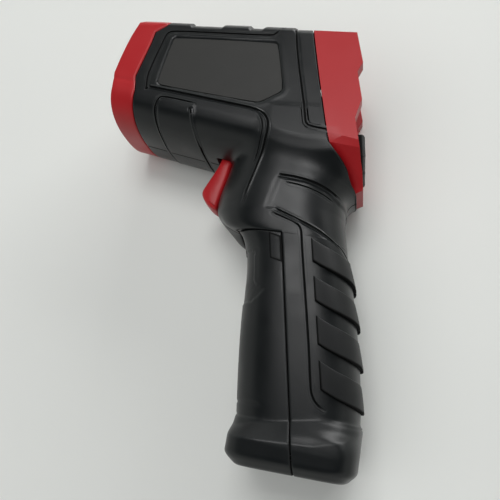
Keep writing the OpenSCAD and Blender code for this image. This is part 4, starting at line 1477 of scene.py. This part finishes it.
@dataclass
class NoseBezel:
    """The red ring round the front: outer skin, rounded rim, front band and the wall down to the plate."""

    # (depth under the top, x) of the rim's front
    front: tuple = ((-5, 2.9), (3.6, 2.3), (7.1, 1.2), (10.8, 0.3), (15.6, -0.5), (20.3, -1.15),
                    (26.3, -NOSE_PEAK), (32.6, 0.9 - NOSE_PEAK), (60, 0.9 - NOSE_PEAK))
    gap: float = 0.14
    rim_round: float = 0.5
    band: float = 4.9
    band_round: float = 0.5
    recess: float = 2.7
    edge_in: float = 1.6
    crease: float = 0.175
    crease_y: float = -29.0
    middle_y: float = -24.0
    land_start: float = 9.0
    outline_steps: tuple = ((0, 22), (1, 9), (2, 64), (3, 64))

    def profile(self) -> list:
        """The ring's section, down the skin and round the rim.

        Returns:
            (share of the way from the joint to the rim, x, inset) rows; a share of 2 counts x
            from the rim's front.
        """
        past = 2.0
        rows = [(t, 0.0, 0.0) for t in (0, 0.02, 0.05, 0.1, 0.25, 0.5, 0.75, 1.0)]
        r, flat_end = self.rim_round, self.band - self.band_round
        for a in np.radians([15, 30, 45, 60, 75, 90]):
            rows.append((past, r * (1 - math.sin(a)), r * (1 - math.cos(a))))
        rows += [(past, 0.0, inset) for inset in (2.0, 3.0, 4.0, flat_end)]
        r = self.band_round
        for a in np.radians([22, 45, 68, 90]):
            rows.append((past, r * (1 - math.cos(a)), flat_end + r * math.sin(a)))
        return rows + [(past, 1.4, self.band), (past, self.recess, self.band)]

    def lean(self, y: Array) -> Array:
        """x of the rim's front at height y."""
        return line_at(self.front, -y)

    def waist_line(self, p: Array) -> Array:
        """Depth of a faint crease where the flat side meets the belly."""
        line = (p[..., 1] - self.crease_y + 0.1 * p[..., 0]) / 0.9
        return self.crease * np.exp(-(line ** 2)) * (p[..., 2] > 18)

    def build(self) -> bpy.types.Object:
        """Makes the ring, both sides in one.

        Returns:
            The piece.
        """
        rows = [(part, w) for part, count in self.outline_steps
                for w in np.linspace(0, 1, count)[min(part, 1):]]
        profile = self.profile()
        p = np.zeros((len(rows), len(profile), 3))
        for i, (part, w) in enumerate(rows):
            for j, (share, x_rim, inset) in enumerate(profile):
                y = np.array([-10.0])
                for _ in range(3):
                    front = float(self.lean(y)[0])
                    joint = float(joint_x(NOSE_JOINT, y)[0]) - self.gap
                    x = front + x_rim if share > 1 else joint + (front + self.rim_round - joint) * share
                    # The first land runs on over the bezel's top
                    at = max(x, self.land_start) if part < 2 else x
                    y, z = HEAD.section(np.array([at]), np.array([w]), part, inset)
                p[i, j] = (x, y[0], z[0])
        from_joint = rounded_rim(np.array([0, 0.1, 0.3, 0.6] + [9] * (len(profile) - 4)))
        out = p - p.mean((0, 1)) * np.array([1, 1, 0])
        n = unit(p * np.array([0, 1, 1]) - np.array([0, self.middle_y, 0]))
        q = p - n * from_joint[None, :, None]
        q = q - n * self.waist_line(q)[..., None]
        draft = MeshDraft()
        for mirror in (1, -1):
            flip = np.array([1, 1, mirror])
            draft.grid(q * flip, out * flip)
            line = (q * flip)[:, 0]
            draft.skirt(line, (-n * flip * self.edge_in)[:, 0], np.zeros_like(line) + np.array([1.0, 0, 0]))
        obj = draft.finish("nose_bezel_skin")
        return settle_piece(obj, "housing", ["nose_bezel"], RED_SHELL)


@dataclass
class RearBezel:
    """The red display end: toothed cheeks, face with its window, waist and the tail down the grip."""

    gap: float = 0.14
    joint_lip: float = 0.4
    joint_in: float = 2.2
    inner_half: float = 16.9
    cheek_wall: float = 1.2
    shelf_y: float = -50.5
    face_top: tuple = (85.1, -2.0)
    face_lean: float = 10.4
    window_y: tuple = (-5.93, -34.46)
    window_half: float = 15.0
    window_deep: float = 1.5
    edge_round: float = 0.5
    # (depth under the top, x) of the toothed back edge
    cheek: tuple = ((1.0, 86.6), (2.0, 86.9), (15.6, 91.2), (19.7, 89.9), (30.2, 93.0), (37.6, 91.8),
                    (45.4, 94.0), (48.0, 94.9), (50.9, 95.7), (53.1, 96.5), (57.4, 97.45))
    # Rows as rows() gives them, below the toothed part
    tail: tuple = ((-41.0, -42.0, 21.5, 21.5), (-43.75, -45.9, 21.5, 21.5), (-47.2, -48.1, 20.55, 20.3),
                   (-49.4, -50.9, 17.9, 16.0), (-52.0, -53.1, 14.7, 13.3), (-54.6, -55.3, 11.4, 10.4),
                   (-57.0, -57.0, 8.4, 8.3), (-58.6, -57.4, 7.6, 7.6), (-59.3, -57.5, 7.2, 7.2))

    def face_x(self, y: float) -> float:
        """x of the display face at height y."""
        return self.face_top[0] + (self.face_top[1] - y) * math.tan(math.radians(self.face_lean))

    def cheek_x(self, y: float) -> float:
        """x of the cheek's back edge at height y."""
        return float(line_at(self.cheek, -y))

    def rows(self) -> list:
        """Rows of the bezel from the roof to the end of the tail.

        Returns:
            (height at the joint, height at the back, half width at the joint, half width at the
            back) rows.
        """
        window_top, window_low = self.window_y
        heights = (-1.0, -2.2, -3.4, window_top, -8.5, -11, -15.6, -17.6, -19.7, -23, -27, -30.2, window_low,
                   -37.6)
        halves = [float(np.interp(-y, [1.0, 3.4], [18.3, 21.5])) for y in heights]
        return [(y, y, half, half) for y, half in zip(heights, halves)] + list(self.tail)

    def section(self, y_joint: float, y_back: float, z_joint: float, z_back: float) -> list:
        """Points of one row, from inside the joint over the cheek to the middle of the face.

        Args:
            y_joint, y_back: heights at the joint and at the back. z_joint, z_back: half widths there.
        Returns:
            (x, y, z) points.
        """
        back = self.cheek_x(y_back)
        joint = float(joint_x(BEZEL_JOINT, np.array([y_joint]))[0]) + self.gap
        inner = min(self.inner_half, z_back - self.cheek_wall)
        face = self.face_x(y_back) if y_back > self.shelf_y else back
        return [(joint + self.joint_lip, y_joint, z_joint - self.joint_in), (joint, y_joint, z_joint),
                ((joint + back) / 2, (y_joint + y_back) / 2, (z_joint + z_back) / 2), (back, y_back, z_back),
                (back, y_back, (z_back + inner) / 2), (back, y_back, inner),
                ((back + face) / 2, y_back, inner), (face, y_back, inner),
                (face, y_back, min(self.window_half, inner * 0.9)), (face, y_back, 0.0)]

    def beside_window(self, y: float) -> bool:
        """Whether a height on the face lies between the window's top and low edges."""
        return self.window_y[1] - 0.01 < y < self.window_y[0] + 0.01

    def reveal(self, grid: list, points: list, faces: list) -> None:
        """Adds the walls of the window opening.

        Args:
            grid: rows of one side. points, faces: what the bezel has so far.
        """
        inside = [row for row in grid if self.beside_window(row[-1][1])]
        rim = [inside[0][-1]] + [row[-2] for row in inside] + [inside[-1][-1]]
        start = len(points)
        points += [p for x, y, z in rim for p in ((x, y, z), (x - self.window_deep, y, z))]
        faces += [(start + 2 * k, start + 2 * k + 1, start + 2 * k + 3, start + 2 * k + 2)
                  for k in range(len(rim) - 1)]

    def close_ends(self, grid: list, low: int, points: list, faces: list) -> None:
        """Adds the underside of the tail, and the roof from the joint to the first row's back.

        Args:
            grid: rows of one side. low: index of the last row's first point. points, faces: so far.
        """
        base = len(points)
        points += [(x, y, 0.0) for x, y, _ in grid[-1][1:4]]
        faces += [(low + 1 + j, low + 2 + j, base + j + 1, base + j) for j in range(2)]
        top = grid[0]
        joint = top[1][0]
        backs = [top[3], top[5], top[7], top[8], top[9]]
        start = len(points)
        for x, y, z in backs:
            points += [(joint, y - 2.0, z), (joint, y, z), ((joint + x) / 2, y, z), (x, y, z)]
        for a in (start + i * 4 + j for i in range(len(backs) - 1) for j in range(3)):
            faces.append((a, a + 1, a + 5, a + 4))

    def build(self) -> bpy.types.Object:
        """Makes the bezel, both sides in one.

        Returns:
            The piece.
        """
        points, faces = [], []
        for mirror in (1, -1):
            grid = [[(x, y, z * mirror) for x, y, z in self.section(*row)] for row in self.rows()]
            start, cols = len(points), len(grid[0])
            points += [p for row in grid for p in row]
            for i, (row, below) in enumerate(zip(grid[:-1], grid[1:])):
                open_face = self.beside_window((row[0][1] + below[0][1]) / 2)
                for a in range(start + i * cols, start + (i + 1) * cols - 1 - open_face):
                    faces.append((a, a + 1, a + cols + 1, a + cols))
            self.reveal(grid, points, faces)
            self.close_ends(grid, start + (len(grid) - 1) * cols, points, faces)
        obj = poly_object("rear_bezel_skin", points, faces)
        edge_bevel(obj, self.edge_round)
        return settle_piece(obj, "housing", ["rear_bezel"], RED_SHELL)


# ---------------------------------------------------------------- pads, trigger, buttons, latches, labels


def behind_split(q: Array, y: Array) -> Array:
    """Points on the grip at run q behind the split line and height y, by looking up dense rows.

    Args:
        q: runs round the section in mm. y: heights, same shape.
    Returns:
        Points (..., 3).
    """
    p = np.zeros(q.shape + (3,))
    levels, runs = np.linspace(y.min() - 0.5, y.max() + 0.5, 60), np.linspace(-2, 36, 240)
    table_x, table_z = [], []
    for level in levels:
        x, z, run = GRIP.row(float(level), 0.0)
        at = runs + np.interp(float(GRIP.split_at(level)), x, run)
        table_x.append(np.interp(at, run, x))
        table_z.append(np.interp(at, run, z))
    fi = (y - levels[0]) / (levels[1] - levels[0])
    fj = (q - runs[0]) / (runs[1] - runs[0])
    i, j = np.clip(fi.astype(int), 0, len(levels) - 2), np.clip(fj.astype(int), 0, len(runs) - 2)
    a, b = fi - i, fj - j
    for axis, table in ((0, np.array(table_x)), (2, np.array(table_z))):
        p[..., axis] = ((table[i, j] * (1 - b) + table[i, j + 1] * b) * (1 - a)
                        + (table[i + 1, j] * (1 - b) + table[i + 1, j + 1] * b) * a)
    p[..., 1] = y
    return p


@dataclass
class GripPads:
    """The four raised shingles on one side of the grip."""

    side: Side
    left_edges: tuple = ((-81.0, -88.8), (-93.3, -101.4), (-105.7, -114.4), (-119.0, -127.5))
    start: float = 9.7
    end: float = 33.7
    fall: float = 4.6
    reach: float = 9.0
    step: float = 0.34
    low_rise: float = 0.22
    high_rise: float = 1.15
    edge_round: float = 0.4
    # Width of the painted shadow band on the pads' front and low edges
    outline: float = 0.5
    edge_in: float = 1.2

    def drop(self, q: Array) -> Array:
        """Fall of a pad's lines at run q behind its front edge."""
        return self.fall * (1 - np.exp(-q / self.reach))

    def pad(self, draft: MeshDraft, top: float, low: float) -> None:
        """One pad, which rises toward its low edge.

        Args:
            draft: mesh. top, low: heights of its front edge's ends.
        """
        length, height = self.end - self.start, top - low
        across, down = spaced(length, self.step), spaced(height, self.step * 0.9)
        q, t = np.meshgrid(across * length, down)
        y = top + (low - top) * t - self.drop(q)
        p = settle(behind_split(q + self.start, y), GRIP.distance, 2)
        out = unit(gradient(GRIP.distance, p))
        edge = np.minimum(np.minimum(q, length - q), np.minimum(t, 1 - t) * height)
        swell = self.low_rise + (self.high_rise - self.low_rise) * t ** 0.8
        p = p + out * (swell - rounded_rim(edge, self.edge_round))[..., None]
        # Front and low edges carry a band of painted shadow, the sides of the raised pads that face away from
        # the light
        shadow_side_band = np.minimum(q, (1 - t) * height * 0.8)
        draft.grid(p, out, cut=np.exp(-((shadow_side_band / self.outline) ** 4)))
        draft.skirts_round(p, -out * self.edge_in)

    def build(self) -> bpy.types.Object:
        """Makes the side's four pads as one piece.

        Returns:
            The piece.
        """
        draft = MeshDraft()
        for top, low in self.left_edges:
            self.pad(draft, top, low)
        node = self.side.label + "_grip_pads"
        obj = draft.finish(node + "_skin", self.side)
        return settle_piece(obj, "housing", [node], PAD_RUBBER)


@dataclass
class Trigger:
    """The red trigger: a swept blade with a rounded front, on its hub."""

    pivot: tuple = (46.5, -44.48)
    half: float = 4.9
    outline: tuple = ((-2.2, 2.6), (-3.6, -1.0), (-3.5, -4.6), (-4.0, -8.0), (-5.3, -11.6), (-6.6, -15.0),
                      (-7.6, -17.6), (-8.15, -19.4), (-7.9, -20.8), (-6.7, -22.6), (-4.5, -24.7),
                      (-2.2, -25.9), (-1.2, -26.0), (-0.7, -25.4), (-0.3, -20.0), (0.7, -13.0), (1.0, -7.0),
                      (3.2, -2.2), (3.6, 1.0), (2.0, 3.4))
    section: tuple = ((0.0, 1.3), (0.35, 0.55), (1.1, 0.1), (2.5, 0.0))
    hollow: float = 0.12

    def build(self) -> bpy.types.Object:
        """Makes the trigger.

        Returns:
            The piece.
        """
        line = smooth_line([*self.outline, self.outline[0]], step=1.0)[:-1]
        normal = outline_normals(line)
        # Height and inset of each outline, from the right side to the left
        flank = [(-self.half + in_z, inset) for in_z, inset in self.section]
        levels = flank + [(0.0, -self.hollow)] + [(-z, inset) for z, inset in reversed(flank)]
        points = [(*xy, z) for z, inset in levels for xy in line - normal * inset + np.array(self.pivot)]
        n, last = len(line), (len(levels) - 1) * len(line)
        faces = [(row + j, row + (j + 1) % n, row + n + (j + 1) % n, row + n + j)
                 for row in range(0, last, n) for j in range(n)]
        faces += [tuple(range(n)), tuple(range(last, last + n))]
        obj = poly_object("trigger_blade", points, faces)
        obj.data.shade_smooth()
        obj.data.set_sharp_from_angle(angle=math.radians(50))
        return settle_piece(obj, "trigger", ["trigger"], RED_SHELL)


@dataclass
class FaceButton:
    """One button on the display face: a rounded cap with a shallow dish and a raised bar for a mark."""

    node: str
    middle_z: float
    width: float = 12.0
    high: float = 8.8
    top_down: float = 37.9
    rise: float = 3.4
    foot: float = -1.0
    edge_round: float = 1.1
    dish: float = 0.25
    bar_half: float = 1.6
    bar_rise: float = 0.14

    def on_face(self, p: Array) -> Array:
        """Points (out, down, z) on the face into instrument axes.

        Args:
            p: points (..., 3).
        Returns:
            The same points in instrument axes.
        """
        lean = math.radians(RearBezel.face_lean)
        top_x, top_y = RearBezel.face_top
        out, down, z = p[..., 0], p[..., 1], p[..., 2]
        return np.stack([top_x + out * math.cos(lean) + down * math.sin(lean),
                         top_y + out * math.sin(lean) - down * math.cos(lean), z], -1)

    def build(self) -> bpy.types.Object:
        """Makes the button.

        Returns:
            The piece.
        """
        u, v = spaced(self.width, 0.45) * 2 - 1, spaced(self.high, 0.45) * 2 - 1
        uu, vv = np.meshgrid(u, v, indexing="ij")
        a, b = self.width / 2 - 0.05, self.high / 2 - 0.05
        edge = np.minimum((1 - np.abs(uu)) * a, (1 - np.abs(vv)) * b)
        height = self.rise - rounded_rim(edge, self.edge_round) - self.dish * (1 - uu**2) * (1 - vv**2)
        bar = np.minimum(self.bar_half - np.abs(uu * a), 0.32 - np.abs(vv * b))
        height = height + self.bar_rise * ease((bar + 0.25) / 0.4)
        down, z = self.top_down + self.high / 2 + vv * b, self.middle_z + uu * a
        cap = self.on_face(np.stack([height, down, z], -1))
        foot = self.on_face(np.stack([np.full_like(height, self.foot), down, z], -1))
        draft = MeshDraft()
        draft.grid(cap, np.zeros_like(cap) + np.array([1.0, 0.18, 0]))
        draft.skirts_round(cap, foot - cap)
        obj = draft.finish(self.node + "_cap")
        return settle_piece(obj, self.node, [self.node], BUTTON_RUBBER)


@dataclass
class DoorLatch:
    """The flush push pad in the door's side."""

    side: Side
    runs: tuple = (-4.35, -0.22)
    heights: tuple = (-80.95, -89.6)
    slope: float = 0.24
    proud: float = 0.1
    edge_round: float = 0.08
    # Width of the painted shade band round the pad, where its gap lies in shadow
    outline: float = 0.62
    edge_in: float = 1.4

    def build(self) -> bpy.types.Object:
        """Makes the latch pad on the door's surface.

        Returns:
            The piece.
        """
        length, height = self.runs[1] - self.runs[0], self.heights[0] - self.heights[1]
        q, t = np.meshgrid(self.runs[0] + spaced(length, 0.2) * length, spaced(height, 0.25))
        y = self.heights[0] - height * t - self.slope * (q - self.runs[0])
        p = settle(behind_split(q, y), GRIP.distance, 2)
        out = unit(gradient(GRIP.distance, p))
        edge = np.minimum(np.minimum(q - self.runs[0], self.runs[1] - q), np.minimum(t, 1 - t) * height)
        p = p + out * (self.proud - rounded_rim(edge, self.edge_round))[..., None]
        draft = MeshDraft()
        # Painted shade round the pad's edge
        draft.grid(p, out, cut=np.exp(-((edge / self.outline) ** 6)))
        draft.skirts_round(p, -out * self.edge_in)
        node = self.side.label + "_door_latch"
        obj = draft.finish(node + "_pad", self.side)
        return settle_piece(obj, self.side.label + "_latch", [node], DOOR_SHELL)


@dataclass
class LabelPlate:
    """The bare dark film in its seat on the barrel's side."""

    side: Side
    shrink: float = 0.22
    surface_z: float = 21.12

    def build(self) -> bpy.types.Object:
        """Makes the film with a softly rounded edge.

        Returns:
            The piece.
        """
        line = smooth_line([*LABEL_OUTLINE, LABEL_OUTLINE[0]], step=0.8)[:-1]
        normal, centre = outline_normals(line), line.mean(0)
        edge = [(line - normal * (self.shrink + inset), self.surface_z - under)
                for inset, under in ((0.0, 0.3), (0.0, 0.08), (0.07, 0.0))]
        face = [(centre + (edge[-1][0] - centre) * share, self.surface_z) for share in (0.6, 0.2, 0.01)]
        rings = [np.column_stack([ring, np.full(len(line), z)]) for ring, z in edge + face]
        p = np.array([np.vstack([ring, ring[:1]]) for ring in rings])
        draft = MeshDraft()
        draft.grid(p, np.zeros_like(p) + np.array([0, 0, 1.0]))
        node = self.side.label + "_label_plate"
        obj = draft.finish(node + "_film", self.side, sharp=40)
        return settle_piece(obj, "housing", [node], LABEL_FILM)


# ---------------------------------------------------------------- stage


def flat_object(name: str, points: Sequence, faces: Sequence) -> bpy.types.Object:
    """A piece of the stage from points in metres.

    Args:
        name: object name. points: (x, y, z) rows. faces: index tuples.
    Returns:
        The new object.
    """
    mesh = bpy.data.meshes.new(name)
    mesh.from_pydata(points, [], faces)
    obj = bpy.data.objects.new(name, mesh)
    bpy.context.scene.collection.objects.link(obj)
    return obj


@dataclass
class Studio:
    """Pale floor and backdrop, soft lamps and the camera."""

    lens_mm: float = 39.2292
    sensor_mm: float = 36.0
    eye: tuple = (108.4, -137.4, 184.5)
    turn: tuple = ((0.96017911, 0.20635898, -0.18834026), (0.14000362, -0.93876698, -0.31482621),
                   (-0.24177483, 0.27592123, -0.93027545))
    reach: float = 3.0
    floor_colour: tuple = srgb(230, 232, 228)
    wall_high: float = 2.0
    wall_sides: int = 48
    wall_colour: tuple = (0.96, 0.98, 0.95, 1.0)
    wall_level: float = 0.68
    sky_colour: tuple = (0.94, 0.97, 1.0, 1.0)
    sky_level: float = 0.08

    def camera(self) -> None:
        """Places the camera."""
        data = bpy.data.cameras.new("view")
        data.sensor_width = self.sensor_mm
        data.lens = self.lens_mm
        data.clip_start = 0.01
        cam = bpy.data.objects.new("view", data)
        right, down, ahead = (Vector(row) for row in self.turn)
        pose = Matrix((right, -down, -ahead)).transposed().to_4x4()
        pose.translation = Vector(to_frame(np.array(self.eye)).tolist())
        cam.matrix_world = pose
        bpy.context.scene.collection.objects.link(cam)
        bpy.context.scene.camera = cam

    def lamp(self, name: str, way: tuple, distance: float, size: tuple, power: float,
             shine: bool = True) -> None:
        """An area lamp that looks at the middle of the object.

        Args:
            name: lamp name. way: direction from the object. distance: metres. size: metres. power: watts.
            shine: whether it shows in glossy surfaces.
        """
        data = bpy.data.lights.new(name, "AREA")
        data.shape = "RECTANGLE"
        data.size, data.size_y = size
        data.energy = power
        obj = bpy.data.objects.new(name, data)
        way_v = Vector(way).normalized()
        obj.location = way_v * distance
        obj.rotation_euler = (-way_v).to_track_quat("-Z", "Y").to_euler()
        obj.visible_glossy = shine
        bpy.context.scene.collection.objects.link(obj)

    def floor(self) -> None:
        """The pale floor that the object lies on."""
        r = self.reach
        floor = flat_object("floor", [(-r, -r, 0), (r, -r, 0), (r, r, 0), (-r, r, 0)], [(0, 1, 2, 3)])
        Finish("pale_floor", self.floor_colour, roughness=0.9, variation=0.01, cloud_mm=60.0,
               grain_height=0.0).put_on(floor)

    def backdrop(self) -> None:
        """A pale wall round the floor, seen directly, in gloss and through glass, that lights nothing."""
        n = self.wall_sides
        turns = [2 * math.pi * k / n for k in range(n)]
        points = [(self.reach * math.cos(a), self.reach * math.sin(a), z) for z in (0.0, self.wall_high)
                  for a in turns]
        faces = [(k, (k + 1) % n, n + (k + 1) % n, n + k) for k in range(n)]
        wall = flat_object("backdrop", points, faces)
        mat = bpy.data.materials.new("pale_backdrop")
        mat.use_nodes = True
        nodes, link = mat.node_tree.nodes, mat.node_tree.links.new
        nodes.remove(nodes["Principled BSDF"])
        path, glow = nodes.new("ShaderNodeLightPath"), nodes.new("ShaderNodeEmission")
        shown = path.outputs["Is Camera Ray"]
        for ray in ("Is Glossy Ray", "Is Transmission Ray"):
            either = nodes.new("ShaderNodeMath")
            either.operation = "MAXIMUM"
            link(shown, either.inputs[0])
            link(path.outputs[ray], either.inputs[1])
            shown = either.outputs[0]
        level = nodes.new("ShaderNodeMath")
        level.operation = "MULTIPLY"
        level.inputs[1].default_value = self.wall_level
        link(shown, level.inputs[0])
        link(level.outputs[0], glow.inputs["Strength"])
        glow.inputs["Color"].default_value = self.wall_colour
        link(glow.outputs[0], nodes["Material Output"].inputs["Surface"])
        wall.data.materials.append(mat)

    def sky(self) -> None:
        """The weak even light from all round."""
        world = bpy.data.worlds.new("studio")
        bpy.context.scene.world = world
        world.use_nodes = True
        back = world.node_tree.nodes["Background"]
        back.inputs["Color"].default_value = self.sky_colour
        back.inputs["Strength"].default_value = self.sky_level

    def build(self) -> None:
        """Makes the stage."""
        bpy.context.scene.view_settings.view_transform = "Standard"
        self.camera()
        self.floor()
        self.backdrop()
        self.sky()
        self.lamp("ceiling_panel", (-0.03, 0.31, 0.95), 1.0, (0.45, 0.36), 3.3)
        self.lamp("far_window", (0.30, 0.90, 0.32), 1.5, (1.3, 0.6), 15.0)
        self.lamp("soft_fill", (-0.25, -0.30, 0.92), 2.0, (2.4, 2.4), 22.0, shine=False)


def dress_frame_nodes() -> None:
    """Gives every CAD node that stays in view its finish."""
    table = {
        "front_plate": NOSE_BLACK, "lens_tube": INNER_BLACK, "infrared_lens": LENS_FILM,
        "thermopile_sensor": CAN_STEEL, "sensor_board": BOARD_GREEN, "laser_module": BRASS,
        "laser_window": RED_GLASS, "display_window": WINDOW, "lcd_module": LCD_GREY,
        "main_board": BOARD_GREEN, "buzzer": INNER_BLACK, "key_switches": PLATED,
        "board_screws": STEEL, "trigger_pin": STEEL, "trigger_spring": STEEL,
        "trigger_switch": INNER_BLACK, "door_hinge_pin": STEEL, "battery_tray": INNER_BLACK,
        "upper_polarity_cell": CELL_WRAP, "lower_polarity_cell": CELL_WRAP,
        "contact_springs": PLATED, "contact_plates": PLATED, "housing_screws": BLACK_STEEL,
        "left_housing": BLACK_SHELL, "right_housing": BLACK_SHELL, "nose_bezel": RED_SHELL,
        "rear_bezel": RED_SHELL, "left_button": BUTTON_RUBBER, "right_button": BUTTON_RUBBER,
        "left_label_plate": LABEL_FILM, "right_label_plate": LABEL_FILM,
        "trigger": RED_SHELL, "battery_door": DOOR_SHELL, "left_door_latch": DOOR_SHELL,
        "right_door_latch": DOOR_SHELL, "left_grip_pads": PAD_RUBBER, "right_grip_pads": PAD_RUBBER,
    }
    for name, finish in table.items():
        finish.put_on(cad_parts[name])
        log.info("finish on %s", name)


def main() -> None:
    """Builds every piece in order."""
    logging.basicConfig(level=logging.INFO, format="%(name)s: %(message)s", stream=sys.stdout)
    dress_frame_nodes()
    for side in Side:
        Housing(side).build()
    BatteryDoor(Housing(Side.LEFT)).build()
    NoseBezel().build()
    RearBezel().build()
    for side in Side:
        GripPads(side).build()
        DoorLatch(side).build()
        LabelPlate(side).build()
    Trigger().build()
    for node, middle_z in (("left_button", 6.8), ("right_button", -6.8)):
        FaceButton(node, middle_z).build()
    Studio().build()


if __name__ == "__main__":
    main()
